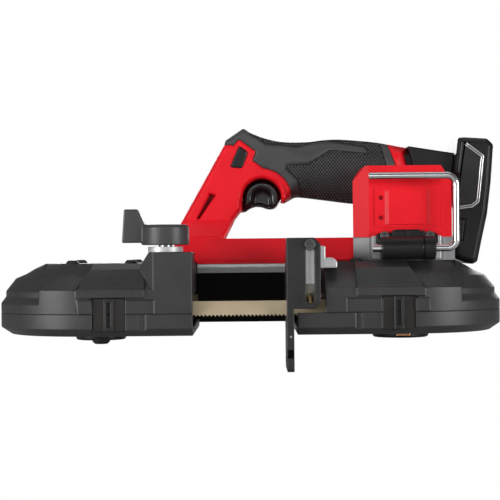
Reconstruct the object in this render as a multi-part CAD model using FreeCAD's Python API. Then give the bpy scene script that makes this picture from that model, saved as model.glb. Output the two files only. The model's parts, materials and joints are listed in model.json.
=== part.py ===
import FreeCAD, Part
import math
import os

V = FreeCAD.Vector

# Frame of the part: X along the blade, Y away from the operator's view, Z up, millimetres.
# The wheel axes stand at Y = 0 while building, and the shoe tip stands at Z = 0.

# General fits and cuts
FIT_GAP = 0.3
RUN_GAP = 0.05
SLIDE_GAP = 0.1
OVERRUN = 5.0

# Band and wheels
WHEEL_SPAN = 204.0
BAND_RADIUS = 58.5
BAND_WIDTH = 12.7
BAND_THICKNESS = 0.6
TWIST_HOLD = 12.0
BAND_RISE = 2.7
BAND_TWIST_DEG = 43.0
TYRE_THICKNESS = 1.8
TYRE_WIDTH = 12.0
RIM_THICKNESS = 6.0
WEB_THICKNESS = 8.0
HUB_RADIUS = 16.0
HUB_BELOW = 16.6
HUB_ABOVE = 7.8
WHEEL_HOLES = 6
WHEEL_HOLE_RADIUS = 9.0

# Wheel housings
POD_CLEARANCE = 8.5
SHELL_WALL = 3.0
SHELL_HEIGHT = 32.3
DECK_HEIGHT = 69.8
GUARD_HEIGHT = 14.4
GUARD_LIP = 12.0
ARMOUR_REACH = 34.0
IDLER_INNER = 37.0
DRIVE_INNER = 47.8
DRIVE_GUARD_INNER = 30.0
END_PROFILE_SHARES = [(1.0, 0.0), (1.0, 0.19), (0.95, 0.325), (0.95, 0.44),
                      (0.85, 0.70), (0.745, 0.79), (0.66, 0.895), (0.55, 1.0)]
BAND_PROFILE_SHARES = [(1.0, 0.0), (1.0, 0.483), (0.836, 0.79), (0.55, 1.0)]
GUARD_PROFILE_SHARES = [(1.0, 1.0), (1.0, 0.33), (0.895, 0.0)]
BROW_LENGTH = 44.0
BROW_OFFSET = 12.5
BROW_PROUD = 1.5
BROW_SLANT = 9.0
BROW_SLANT_SHARES = (0.48, 0.90)
BROW_PROFILE_SHARES = [(1.0, 0.32), (1.0, 0.49), (0.965, 0.52), (0.885, 0.76),
                       (0.84, 0.88), (0.60, 1.0), (0.60, 0.7), (0.88, 0.32)]
PAD_PROUD = 1.0
PAD_LENGTH = 9.0
PAD_HEIGHT = 9.0
BAND_WINDOW_HEIGHT = 12.0

# Clip plates that bridge the seam
CLIP_WIDTH = 21.0
CLIP_TOP = 10.5
CLIP_BOTTOM = 11.2
IDLER_CLIP_OFFSET = 11.5
DRIVE_CLIP_OFFSET = 7.3
RECESS_DEPTH = 3.0
STEP_DEPTH = 1.2
GAP_OFFSET = 35.0
GAP_WIDTH = 4.2
GAP_DEPTH = 2.0
PANEL_OFFSET = 40.5
CLIP_THICKNESS = 1.6
CLIP_SLOT = 2.8
CLIP_RIB = 1.4
CLIP_RIB_PROUD = 1.9
CLIP_BACKING = 2.5

# Tension tower on the idler housing
TOWER_RISE = 7.1
TOWER_FOOT = 9.8
TOWER_LENGTH = 25.0
TOWER_FACET = 9.0
TOWER_BACK = 20.0
TOWER_SLANT = 6.2
TOWER_SLANT_HEIGHT = 9.0
TOWER_ROOF = 3.3

# Frame casting
FRAME_THICKNESS = 4.3
FRAME_PAD_RADIUS = 28.0
FRAME_FRONT = 6.0
FRAME_BACK = 64.0
FRAME_INNER_BACK = 33.0
BEAM_RISE = 1.9
BEAM_LIP = 2.5
BEAM_SLOPE = 4.0
LEVER_PAD_DEPTH = 7.0
LUG_LENGTH = 5.0

# Rear guard
REAR_WALL = 2.5
REAR_SLOPE_TOP = 12.0
REAR_SLOPE_FOOT = 48.0
REAR_HEIGHT = 41.9
REAR_CHAMFER = 2.5
REAR_PANEL_INSET = 4.0
REAR_PANEL_DEPTH = 1.0

# Tension slide and lever
SLIDE_HEADROOM = 2.4
SLIDE_THICKNESS = 4.8
SLIDE_HALF = 15.0
SLIDE_OUTER = 16.0
SLIDE_REACH = 22.0
SLIDE_TRAVEL = 6.0
RAIL_WALL = 4.0
RAIL_LIP = 4.0
RAIL_DEPTH = 3.0
RAIL_LENGTH = 24.0
LEVER_INSET = 18.0
LEVER_DEPTH = 22.0
LEVER_SHAFT_RADIUS = 4.5
CAM_PIN_RADIUS = 3.0
CAM_SLACK = 1.0
CAM_WALL = 3.0
COLLAR_RADIUS = 11.4
COLLAR_HEIGHT = 3.6
KNOB_RADIUS = 15.5
KNOB_GAP = 1.1
KNOB_HEIGHT = 13.2
WING_REACH = 28.0
WING_TOP = 23.3
WING_TIP = 10.5
WING_HALF = 6.0
KNOB_EDGE = 1.5
SPRING_RADIUS = 4.0
SPRING_WIRE = 1.2
SPRING_Y = 8.5

# Idler axle and hub
AXLE_RADIUS = 6.0
AXLE_FLANGE_RADIUS = 10.0
AXLE_FLANGE = 2.0
BEARING_RADIUS = 11.0
BEARING_WIDTH = 6.0
CAP_RADIUS = 17.0
CAP_GAP = 1.6
CAP_THICKNESS = 4.0
NUT_RADIUS = 6.0
NUT_HEIGHT = 3.2

# Drive hub
DRIVE_CAP_RADIUS = 19.0
BUSH_RADIUS = 8.0
BUSH_TAB_WIDTH = 9.4
BUSH_TAB_DROP = 2.6

# Gear train, one planetary stage
GEAR_MODULE = 0.533
SUN_TEETH = 12
PLANET_TEETH = 21
RING_TEETH = 54
PLANET_COUNT = 3
GEAR_WIDTH = 8.0
CARRIER_THICKNESS = 2.2
CARRIER_RADIUS = 12.6
STAGE_GAP = 0.4
PIN_RADIUS = 1.5
RING_RADIUS = 16.2
PRESSURE_DEG = 20.0
ADDENDUM_SHARE = 0.85
DEDENDUM_SHARE = 1.15
BACKLASH_SHARE = 0.10

# Gear case and motor
CASE_LEFT = 33.0
CASE_RIGHT = 35.0
CASE_FRONT = 28.0
CASE_BACK = 19.0
CASE_HEIGHT = 15.7
CASE_FACET = 10.0
CASE_TAPER = 4.5
CASE_FACET_DEPTH = 8.0
COVER_RIGHT = 33.0
COVER_HEIGHT = 47.5
COVER_WALL = 2.5
COVER_BEVEL_X = 8.0
COVER_BEVEL_Z = 10.0
COVER_FRAME_LENGTH = 43.0
COVER_FRAME_BASE = 6.5
COVER_FRAME_HEIGHT = 26.0
COVER_FRAME_PROUD = 1.0
COVER_PANEL_LENGTH = 30.0
COVER_PANEL_HEIGHT = 22.0
COVER_PANEL_PROUD = 2.2
COVER_PANEL_EDGE = 2.5
DIMPLE_RADIUS = 1.6
DIMPLE_DEPTH = 0.8
DIMPLE_SPREAD = 13.2
MOTOR_RADIUS = 16.2
MOTOR_BORE = 10.8
BELL_THICKNESS = 4.0
MOTOR_LENGTH = 26.0
ROTOR_RADIUS = 10.2
SHAFT_RADIUS = 2.0
MOTOR_THROAT = 5.0
BOARD_THICKNESS = 1.6
BOARD_HEIGHT = 30.0
OUTPUT_RADIUS = 6.0
OUTPUT_BEARING_RADIUS = 13.0

# Blade guides
GUIDE_ROLLER_RADIUS = 2.4
GUIDE_ROLLER_LENGTH = 7.0
GUIDE_PIN_RADIUS = 1.0
GUIDE_BLOCK_LENGTH = 9.0
GUIDE_BLOCK_HEIGHT = 8.0
GUIDE_BLOCK_HALF = 6.0
LEFT_GUIDE_INSET = 8.0
RIGHT_GUIDE_REACH = 9.8
GUIDE_ARM_RISE = 14.2
GUIDE_ARM_DEPTH = 14.0
GUIDE_FOOT_LENGTH = 8.0
GUIDE_FOOT_HEIGHT = 10.2
GUIDE_FOOT_BACK = 23.0
GUIDE_FOOT_RISE = 4.0
GUIDE_STRIP = 5.8
GUIDE_STEP_HEIGHT = 2.6
GUIDE_FOOT_CORNER = 2.5

# Work shoe
SHOE_STANDOFF = 5.0
SHOE_THICKNESS = 3.0
SHOE_REACH = 15.0
SHOE_PLATE = 4.6
SHOE_WIDTH = 20.1
SHOE_RISE = 15.5
SHOE_FLANGE_LENGTH = 45.1
SHOE_CORNER = 4.0
SHOE_SLOT_WIDTH = 5.4
SHOE_SLOT_SPARE = 4.6
SHOE_SLOT_EDGE = 1.6
SHOE_TRAVEL = 30.0
SHOE_BACK = 25.0
SHOE_PLATE_DROP = 21.3
FORK_MARGIN = 1.4
FORK_TOP_MARGIN = 3.0
NOTCH_LOW = 9.0
NOTCH_HEIGHT = 5.0
NOTCH_DEPTH = 2.0
SHOE_SCREW_RADIUS = 3.5
SHOE_SHANK_RADIUS = 2.4
SHOE_SCREW_HEAD = 2.2
SHOE_SCREW_CROSS = 1.2

# Hang hook
HOOK_STANDOFF = 14.0
HOOK_RISE = 7.0
ROD_RADIUS = 2.3
BARREL_RADIUS = 7.4
BARREL_LENGTH = 35.0
BARREL_COLLAR = 8.0
BARREL_COLLAR_PROUD = 0.5
ROD_STUB = 6.0
ROD_BEND = 6.0
HOOK_LEG_REACH = 33.0
HOOK_HEIGHT = 47.4
HOOK_TIP_REACH = 24.0
BRACKET_LENGTH = 41.0
BRACKET_CLEARANCE = 1.2
BRACKET_HEIGHT = 19.4
BRACKET_THICKNESS = 4.5
BRACKET_EAR_TOP = 4.0
BRACKET_EAR_DROP = 9.4
BACKING_THICKNESS = 1.5
BACKING_MARGIN = 2.5
BRACKET_SCREW_RADIUS = 2.9
BRACKET_SCREW_SPREAD = 30.0
BRACKET_SCREW_DROP = 4.0
SCREW_HEAD = 1.6

# Handle
HANDLE_MID = 38.0
HANDLE_HALF = 19.0
HANDLE_OVERHANG = 15.0
HANDLE_LENGTH = 192.0
BAR_HEIGHT = 16.0
HANDLE_RISE = 77.3
HANDLE_EDGE = 3.0
OVERMOULD = 2.5
HANDLE_WALL = 2.8
STRUT_SHARES = [(0.0, -0.02), (0.017, 0.142), (0.180, 0.860), (0.183, 0.893), (0.236, 0.982), (0.248, 1.0),
                (0.260, 0.992)]
GRIP_TOP_SHARES = [(0.280, 0.959), (0.333, 0.909), (0.392, 0.880), (0.481, 0.878), (0.540, 0.894),
                   (0.599, 0.899),
                   (0.688, 0.882), (0.753, 0.862), (0.847, 0.818)]
GRIP_UNDER_SHARES = [(0.906, 0.274), (0.823, 0.280), (0.658, 0.307), (0.538, 0.345), (0.449, 0.371)]
GUARD_SHARES = [(0.421, 0.349), (0.398, 0.317), (0.384, 0.322), (0.239, 0.241), (0.218, 0.175),
                (0.179, -0.02)]
GRIP_ZONE_SHARES = [(0.170, 0.843), (0.209, 0.841), (0.215, 0.832), (0.230, 0.882), (0.239, 0.885),
                    (0.295, 0.780), (0.283, 0.700), (0.322, 0.630), (0.339, 0.622), (0.368, 0.594),
                    (0.394, 0.542), (0.409, 0.497), (0.421, 0.433), (0.424, 0.2), (0.850, 0.2),
                    (0.800, 0.655), (0.776, 0.838), (0.760, 1.1), (0.170, 1.1)]
GROOVE_SHARES = [(0.127, 0.418), (0.155, 0.402), (0.088, 0.169), (0.073, 0.173)]
GROOVE_DEPTH = 1.6
LOCK_SHARES = [(0.239, 0.829), (0.266, 0.779), (0.263, 0.746), (0.244, 0.630), (0.206, 0.639),
               (0.203, 0.653), (0.233, 0.827)]
LOCK_TRAVEL = 3.0
LOCK_PROUD = 1.2
TRIGGER_SHARES = (0.316, 0.361)
TRIGGER_RADIUS = 13.2
TRIGGER_GAP = 0.4
TRIGGER_DROP = 9.3
TRIGGER_HALF = 10.0
TRIGGER_TRAVEL = 6.0
TRIGGER_STEM_LENGTH = 14.0
TRIGGER_STEM_RISE = 4.0
SCOOP_RADIUS = 13.3
SCOOP_DROP = 18.7
SCOOP_SHIFT = 1.7
SWITCH_LENGTH = 18.0
SWITCH_HEIGHT = 16.0
SWITCH_DEPTH = 20.0
SWITCH_SHARES = (0.40, 0.56)
SOCKET_SHARES = [(0.847, 0.818), (1.022, 0.748), (1.000, 0.272), (0.906, 0.274)]

# Battery, drawn along the handle's sloping axis
BATTERY_SHIFT = 0.5
BATTERY_LIFT = 41.2
BATTERY_TILT_DEG = 7.0
BATTERY_HALF = 29.0
BATTERY_DEPTH = 26.5
BATTERY_HEIGHT = 90.0
BATTERY_EDGE = 3.0
BATTERY_WALL = 2.2
BATTERY_OUTLINE_SHARES = [(0.02, 0.98), (0.19, 0.99), (0.78, 1.0), (0.955, 0.96), (1.0, 0.667), (1.0, 0.427),
                          (0.93, 0.217), (0.887, 0.055), (0.77, 0.03), (0.60, 0.033), (0.26, 0.06),
                          (0.02, 0.678)]
BATTERY_RISE = 29.0
STICK_LENGTH = 56.0
STICK_HALF = 13.0
STICK_HEIGHT = 26.0
STICK_GAP = 0.4
CELL_RADIUS = 7.0
CELL_LENGTH = 60.0
CELL_PITCH = 17.5
CELL_TOP = 4.0
PANEL_PROUD = 0.4
PANEL_RECESS = 0.8
PANEL_SHARES = [(0.22, 0.94), (0.69, 0.86), (0.70, 0.51), (0.57, 0.47), (0.17, 0.44)]
LATCH_LENGTH = 4.5
LATCH_HEIGHT = 14.0
LATCH_PROUD = 1.2
LATCH_TRAVEL = 2.0
LATCH_SINK = 4.0
LATCH_SHARES = (0.24, 0.36)

# Fasteners
DOME_RADIUS = 4.2
DOME_HEIGHT = 2.2
DECK_SCREW_SPREAD = 19.5
DECK_SCREW_SHIFT = 3.5
DECK_SCREW_Y = 26.0
CASE_SCREW_Y = 31.0
CASE_SCREW_NEAR = 32.0
CASE_SCREW_FAR = 26.0
CASE_SCREW_END = 14.0
HANDLE_SCREW_RADIUS = 2.6
FLARE_SHARES = [(0.0, -0.02), (0.017, 0.142), (0.022, 0.165), (0.216, 0.165), (0.179, -0.02)]
HANDLE_SCREW_SHARES = [(0.10, 0.36), (0.19, 0.55), (0.42, 0.72), (0.72, 0.60)]

IDLER_X = -WHEEL_SPAN / 2
DRIVE_X = WHEEL_SPAN / 2
POD_RADIUS = BAND_RADIUS + POD_CLEARANCE
SEAM_HEIGHT = DECK_HEIGHT - SHELL_HEIGHT
GUARD_BASE = SEAM_HEIGHT - GUARD_HEIGHT
BAND_HEIGHT = SEAM_HEIGHT + BAND_RISE
HUB_BASE = BAND_HEIGHT - HUB_BELOW
HUB_TOP = BAND_HEIGHT + HUB_ABOVE
CAP_TOP = HUB_BASE - CAP_GAP
FRAME_TOP = DECK_HEIGHT - SHELL_WALL - FIT_GAP
FRAME_BASE = FRAME_TOP - FRAME_THICKNESS
BEAM_TOP = FRAME_TOP + BEAM_RISE
REAR_BASE = BEAM_TOP - REAR_HEIGHT
BAR_TOP = DECK_HEIGHT + BAR_HEIGHT
BAR_BACK = FRAME_BACK
TOWER_TOP = DECK_HEIGHT + TOWER_RISE
TOWER_BASE = SEAM_HEIGHT + TOWER_FOOT
LEVER_X = -IDLER_INNER - LEVER_INSET
LEVER_Y = LEVER_DEPTH - POD_RADIUS
LEVER_PAD_FRONT = POD_RADIUS - LEVER_PAD_DEPTH
GAP_PLACE = WHEEL_SPAN / 2 - GAP_OFFSET
PANEL_PLACE = WHEEL_SPAN / 2 - PANEL_OFFSET
CASE_TOP = DECK_HEIGHT + CASE_HEIGHT
COVER_TOP = CASE_TOP + COVER_HEIGHT
LEFT_GUIDE_X = -IDLER_INNER - LEFT_GUIDE_INSET
RIGHT_GUIDE_X = DRIVE_INNER - RIGHT_GUIDE_REACH
GUIDE_ARM_TOP = DECK_HEIGHT + GUIDE_ARM_RISE
GUIDE_FOOT_TOP = DECK_HEIGHT + GUIDE_FOOT_HEIGHT
GUIDE_STEP_TOP = DECK_HEIGHT + GUIDE_STEP_HEIGHT
SHOE_FACE_X = RIGHT_GUIDE_X - SHOE_REACH
SHOE_FRONT = POD_RADIUS + SHOE_STANDOFF
SHOE_TOP = DECK_HEIGHT + SHOE_RISE
SHOE_FLANGE_BASE = SHOE_TOP - SHOE_FLANGE_LENGTH
SHOE_PLATE_TOP = SHOE_TOP - SHOE_PLATE_DROP
BRACKET_BASE = DECK_HEIGHT + BRACKET_CLEARANCE
BRACKET_TOP = BRACKET_BASE + BRACKET_HEIGHT
BRACKET_EAR_BASE = BRACKET_TOP - BRACKET_EAR_DROP
HOOK_Y = -CASE_FRONT - HOOK_STANDOFF
HOOK_Z = BRACKET_BASE + HOOK_RISE
HOOK_TOP = HOOK_Z + HOOK_HEIGHT
HOOK_LEG_X = DRIVE_X + HOOK_LEG_REACH
HOOK_TIP_X = DRIVE_X - HOOK_TIP_REACH
HANDLE_LEFT = -IDLER_INNER - HANDLE_OVERHANG
BATTERY_X = HANDLE_LEFT + HANDLE_LENGTH + BATTERY_SHIFT
BATTERY_Z = BAR_TOP + BATTERY_LIFT
WHEEL_RADIUS = BAND_RADIUS - BAND_THICKNESS / 2 - FIT_GAP
TWIST = math.radians(BAND_TWIST_DEG)
ACROSS = V(0, math.sin(TWIST), math.cos(TWIST))
NORMAL = V(0, -math.cos(TWIST), math.sin(TWIST))
HANDLE_NEAR = HANDLE_MID - HANDLE_HALF
PLANET_BASE = DECK_HEIGHT + STAGE_GAP
PLANET_TOP = PLANET_BASE + GEAR_WIDTH
SUN_PITCH = GEAR_MODULE * SUN_TEETH / 2
PLANET_PITCH = GEAR_MODULE * PLANET_TEETH / 2
PLANET_ORBIT = SUN_PITCH + PLANET_PITCH
MOTOR_BASE = CASE_TOP + BELL_THICKNESS
MOTOR_TOP = MOTOR_BASE + MOTOR_LENGTH
BARREL_LEFT = DRIVE_X - BARREL_LENGTH / 2 + DIMPLE_RADIUS
SLIDE_TOP = FRAME_BASE - SLIDE_HEADROOM
SLIDE_BASE = SLIDE_TOP - SLIDE_THICKNESS
CAM_THROW = SLIDE_TRAVEL / 2
FRONT_REACH = SHOE_FRONT + SLIDE_GAP + SHOE_SCREW_HEAD
BACK_REACH = HANDLE_MID + BATTERY_HALF + LATCH_PROUD
ORIGIN_SHIFT = (FRONT_REACH - BACK_REACH) / 2


def box(x0, x1, y0, y1, z0, z1):
    return Part.makeBox(x1 - x0, y1 - y0, z1 - z0, V(x0, y0, z0))


def rod(start, end, radius):
    line = end - start
    return Part.makeCylinder(radius, line.Length, start, line)


def upright(x, y, z0, z1, radius):
    return Part.makeCylinder(radius, z1 - z0, V(x, y, z0), V(0, 0, 1))


def ring(x, y, z0, z1, outer, inner):
    return upright(x, y, z0, z1, outer).cut(upright(x, y, z0 - OVERRUN, z1 + OVERRUN, inner))


def polygon_face(points):
    return Part.Face(Part.makePolygon(points + [points[0]]))


def plate_xz(points, y0, y1):
    face = polygon_face([V(x, y0, z) for x, z in points])
    return face.extrude(V(0, y1 - y0, 0))


def plate_xy(points, z0, z1):
    face = polygon_face([V(x, y, z0) for x, y in points])
    return face.extrude(V(0, 0, z1 - z0))


def plate_yz(points, x0, x1):
    face = polygon_face([V(x0, y, z) for y, z in points])
    return face.extrude(V(x1 - x0, 0, 0))


def lathe(x, y, points, turn=360):
    face = polygon_face([V(x, y - r, z) for r, z in points])
    return face.revolve(V(x, y, 0), V(0, 0, 1), turn)


def fuse_all(shapes):
    joined = shapes[0].fuse(shapes[1:])
    return joined.removeSplitter()


def inset_outline(points, depth):
    """Outline moved inward by depth, corner for corner."""
    area = sum(a[0] * b[1] - b[0] * a[1] for a, b in zip(points, points[1:] + points[:1]))
    turn = 1 if area > 0 else -1
    moved = []
    for before, here, after in zip(points[-1:] + points[:-1], points, points[1:] + points[:1]):
        ax, az = here[0] - before[0], here[1] - before[1]
        bx, bz = after[0] - here[0], after[1] - here[1]
        al, bl = math.hypot(ax, az), math.hypot(bx, bz)
        nx = turn * (-az / al - bz / bl)
        nz = turn * (ax / al + bx / bl)
        scale = depth * 2 / (nx * nx + nz * nz)
        moved.append((here[0] + nx * scale, here[1] + nz * scale))
    return moved


def bevelled_plate(points, y_face, y_back, edge):
    """Plate in the XZ plane whose outer face at y_face has a bevelled rim."""
    step = math.copysign(edge, y_back - y_face)
    inner = [V(x, y_face, z) for x, z in inset_outline(points, edge)]
    outer = [V(x, y_face + step, z) for x, z in points]
    wires = [Part.makePolygon(line + [line[0]]) for line in (inner, outer)]
    rim = Part.makeLoft(wires, True, True)
    return fuse_all([rim, plate_xz(points, y_face + step, y_back)])


def profile(shares, low, high):
    return [(POD_RADIUS * r, low + (high - low) * h) for r, h in shares]


def pod_block(points, side, inner):
    """Round-ended block around a wheel axis, straight up to the inner end."""
    axis_x = side * WHEEL_SPAN / 2
    half = [(0, points[0][1])] + points + [(0, points[-1][1])]
    end = lathe(axis_x, 0, half, side * 180)
    across = [(-r, z) for r, z in points] + [(r, z) for r, z in reversed(points)]
    straight = plate_yz(across, axis_x, side * inner)
    return fuse_all([end, straight])


def side_box(side, x0, x1, y0, y1, z0, z1):
    """Box whose X limits are distances from the middle on one side."""
    low, high = sorted((side * x0, side * x1))
    return box(low, high, y0, y1, z0, z1)


def clip_centre(side):
    return WHEEL_SPAN / 2 - (IDLER_CLIP_OFFSET if side < 0 else DRIVE_CLIP_OFFSET)


def clip_block(side, spare, y0, y1, z0, z1):
    """Box as wide as the clip plate, with spare width at both sides."""
    half = CLIP_WIDTH / 2 + spare
    return side_box(side, clip_centre(side) - half, clip_centre(side) + half, y0, y1, z0, z1)


def sunk_panel(side, start, z0, z1):
    """Shallow step from a place on the straight side to the clip plate's recess."""
    end = clip_centre(side) - CLIP_WIDTH / 2
    return side_box(side, start, end, -POD_RADIUS - OVERRUN, STEP_DEPTH - POD_RADIUS, z0, z1)


def band_window(side, inner, z0, z1):
    """Opening in an inner end wall for both runs of the band and the wheel's edge."""
    reach = inner + SHELL_WALL + OVERRUN
    inside = POD_RADIUS - SHELL_WALL
    return side_box(side, inner - OVERRUN, reach, -inside, inside, z0, z1)


def upper_shell(side, inner):
    mid = WHEEL_SPAN / 2
    outer = pod_block(profile(END_PROFILE_SHARES, SEAM_HEIGHT, DECK_HEIGHT), side, inner)
    band = pod_block(profile(BAND_PROFILE_SHARES, SEAM_HEIGHT, DECK_HEIGHT), side, inner)
    reach = side_box(side, 0, mid + ARMOUR_REACH, -POD_RADIUS - OVERRUN, POD_RADIUS + OVERRUN,
                     0, DECK_HEIGHT + OVERRUN)
    brow = [(-(POD_RADIUS + BROW_PROUD) * r, SEAM_HEIGHT + (DECK_HEIGHT - SEAM_HEIGHT) * h)
            for r, h in BROW_PROFILE_SHARES]
    brow_inner, brow_outer = mid - BROW_OFFSET - BROW_LENGTH / 2, mid - BROW_OFFSET + BROW_LENGTH / 2
    slant_low, slant_high = [SEAM_HEIGHT + (DECK_HEIGHT - SEAM_HEIGHT) * h for h in BROW_SLANT_SHARES]
    sides = [(brow_inner, SEAM_HEIGHT), (brow_outer, SEAM_HEIGHT), (brow_outer, slant_low),
             (brow_outer - BROW_SLANT, slant_high), (brow_outer - BROW_SLANT, DECK_HEIGHT),
             (brow_inner, DECK_HEIGHT)]
    brow_front = plate_xz([(side * x, z) for x, z in sides], -POD_RADIUS - BROW_PROUD, 0)
    brow_block = plate_yz(brow, *sorted((side * brow_inner, side * brow_outer))).common(brow_front)
    pad_x = clip_centre(side) + CLIP_WIDTH / 2 + FIT_GAP
    pad = side_box(side, pad_x, pad_x + PAD_LENGTH, -POD_RADIUS - PAD_PROUD, -POD_RADIUS + PAD_PROUD,
                   SEAM_HEIGHT + FIT_GAP, SEAM_HEIGHT + PAD_HEIGHT)
    floor = RECESS_DEPTH - POD_RADIUS
    backing = clip_block(side, CLIP_BACKING, floor, floor + CLIP_BACKING, SEAM_HEIGHT, SEAM_HEIGHT + CLIP_TOP)
    points = profile(END_PROFILE_SHARES, SEAM_HEIGHT, DECK_HEIGHT)
    hollow = [(r - SHELL_WALL, z - SHELL_WALL) for r, z in points]
    cavity = pod_block(hollow, side, inner + SHELL_WALL)
    shell = fuse_all([outer, band.common(reach), brow_block, pad])
    shell = shell.cut(cavity).fuse(backing)
    recess = clip_block(side, 0, -POD_RADIUS - OVERRUN, floor, SEAM_HEIGHT - OVERRUN, SEAM_HEIGHT + CLIP_TOP)
    passage = side_box(side, inner - OVERRUN, inner + SHELL_WALL + OVERRUN, FRAME_FRONT - FIT_GAP,
                       FRAME_INNER_BACK + FIT_GAP, SEAM_HEIGHT - OVERRUN, FRAME_TOP + FIT_GAP / 2)
    windows = band_window(side, inner, SEAM_HEIGHT - OVERRUN, SEAM_HEIGHT + BAND_WINDOW_HEIGHT)
    panel = sunk_panel(side, PANEL_PLACE, SEAM_HEIGHT - OVERRUN, SEAM_HEIGHT + PAD_HEIGHT)
    return shell.cut(recess).cut(panel).cut(passage).cut(windows)


def idler_upper_shell():
    shell = upper_shell(-1, IDLER_INNER)
    left = -IDLER_INNER - TOWER_LENGTH
    plan = [(-IDLER_INNER, -POD_RADIUS), (left, -POD_RADIUS), (left - TOWER_FACET, TOWER_FACET - POD_RADIUS),
            (left - TOWER_FACET, -TOWER_BACK), (-IDLER_INNER, -TOWER_BACK)]
    edge = left - TOWER_FACET
    slant_base = TOWER_TOP - TOWER_SLANT_HEIGHT
    sides = [(edge, TOWER_BASE), (edge, slant_base), (edge + TOWER_SLANT, TOWER_TOP),
             (-IDLER_INNER, TOWER_TOP),
             (-IDLER_INNER, TOWER_BASE)]
    tower = plate_xy(plan, TOWER_BASE, TOWER_TOP).common(plate_xz(sides, -POD_RADIUS, 0))
    room_top = TOWER_TOP - TOWER_ROOF
    low, high = SEAM_HEIGHT - OVERRUN, FRAME_TOP + FIT_GAP
    rear = OVERRUN - TOWER_BACK
    wide = box(left, -IDLER_INNER - SHELL_WALL, SHELL_WALL - POD_RADIUS, rear, low, high)
    deep = box(left - TOWER_FACET / 2, left + SHELL_WALL, TOWER_FACET - POD_RADIUS, rear, low, high)
    pad_room = box(left - TOWER_FACET - OVERRUN, left, -FRAME_PAD_RADIUS - FIT_GAP, rear, low, high)
    arm_room = box(left - TOWER_FACET - OVERRUN, left, LEVER_Y + CAM_PIN_RADIUS * 2, rear, low,
                   SLIDE_TOP + FIT_GAP)
    guide_room = box(LEFT_GUIDE_X - GUIDE_BLOCK_LENGTH, -IDLER_INNER - SHELL_WALL,
                     SHELL_WALL / 2 - POD_RADIUS, -BAND_RADIUS, SEAM_HEIGHT - OVERRUN,
                     SEAM_HEIGHT + BAND_WINDOW_HEIGHT)
    bore = upright(LEVER_X, LEVER_Y, FRAME_TOP, room_top + OVERRUN + TOWER_ROOF, LEVER_SHAFT_RADIUS + FIT_GAP)
    windows = band_window(-1, IDLER_INNER, SEAM_HEIGHT - OVERRUN, SEAM_HEIGHT + BAND_WINDOW_HEIGHT)
    shell = shell.fuse(tower).removeSplitter()
    shell = shell.cut(wide).cut(deep).cut(pad_room).cut(arm_room)
    return shell.cut(guide_room).cut(bore).cut(windows)


def drive_upper_shell():
    shell = upper_shell(1, DRIVE_INNER)
    return shell.cut(upright(DRIVE_X, 0, FRAME_TOP, DECK_HEIGHT + OVERRUN, CARRIER_RADIUS + FIT_GAP))


def lower_guard(side, inner):
    outer = pod_block(profile(GUARD_PROFILE_SHARES, GUARD_BASE, SEAM_HEIGHT), side, inner)
    points = profile(GUARD_PROFILE_SHARES, GUARD_BASE, SEAM_HEIGHT)
    rim = points[-1][0] - GUARD_LIP
    hollow = [(points[0][0] - SHELL_WALL, SEAM_HEIGHT + OVERRUN), (points[1][0] - SHELL_WALL, points[1][1]),
              (points[2][0] - SHELL_WALL, GUARD_BASE + SHELL_WALL), (rim, GUARD_BASE + SHELL_WALL),
              (rim, GUARD_BASE - OVERRUN)]
    cavity = pod_block(hollow, side, inner + SHELL_WALL)
    floor = RECESS_DEPTH - POD_RADIUS
    backing = clip_block(side, CLIP_BACKING, floor, floor + CLIP_BACKING, SEAM_HEIGHT - CLIP_BOTTOM,
                         SEAM_HEIGHT)
    recess = clip_block(side, 0, -POD_RADIUS - OVERRUN, floor, SEAM_HEIGHT - CLIP_BOTTOM,
                        SEAM_HEIGHT + OVERRUN)
    windows = band_window(side, inner, BAND_HEIGHT - BAND_WINDOW_HEIGHT, SEAM_HEIGHT + OVERRUN)
    panel = sunk_panel(side, GAP_PLACE, GUARD_BASE - OVERRUN, SEAM_HEIGHT + OVERRUN)
    gap = side_box(side, GAP_PLACE, GAP_PLACE + GAP_WIDTH, -POD_RADIUS - OVERRUN, GAP_DEPTH - POD_RADIUS,
                   GUARD_BASE - OVERRUN, SEAM_HEIGHT + OVERRUN)
    return outer.cut(cavity).fuse(backing).cut(recess).cut(panel).cut(gap).cut(windows)


def clip_plates():
    return Part.makeCompound([clip_plate(-1), clip_plate(1)])


def clip_plate(side):
    """Ribbed metal plate in the recess across the seam."""
    left = clip_centre(side) - CLIP_WIDTH / 2 + FIT_GAP
    right = clip_centre(side) + CLIP_WIDTH / 2 - FIT_GAP
    low = SEAM_HEIGHT - CLIP_BOTTOM + FIT_GAP
    high = SEAM_HEIGHT + CLIP_TOP - FIT_GAP
    floor = RECESS_DEPTH - POD_RADIUS
    plate = side_box(side, left, right, floor - CLIP_THICKNESS, floor, low, high)
    centre = (left + right) / 2
    half = CLIP_SLOT / 2 + CLIP_RIB
    loop = side_box(side, centre - half, centre + half, floor - CLIP_THICKNESS - CLIP_RIB_PROUD, floor,
                    low, high)
    slot = side_box(side, centre - CLIP_SLOT / 2, centre + CLIP_SLOT / 2, floor - CLIP_THICKNESS - OVERRUN,
                    floor + OVERRUN, low + CLIP_SLOT, high - CLIP_SLOT)
    return fuse_all([plate, loop]).cut(slot)


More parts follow.
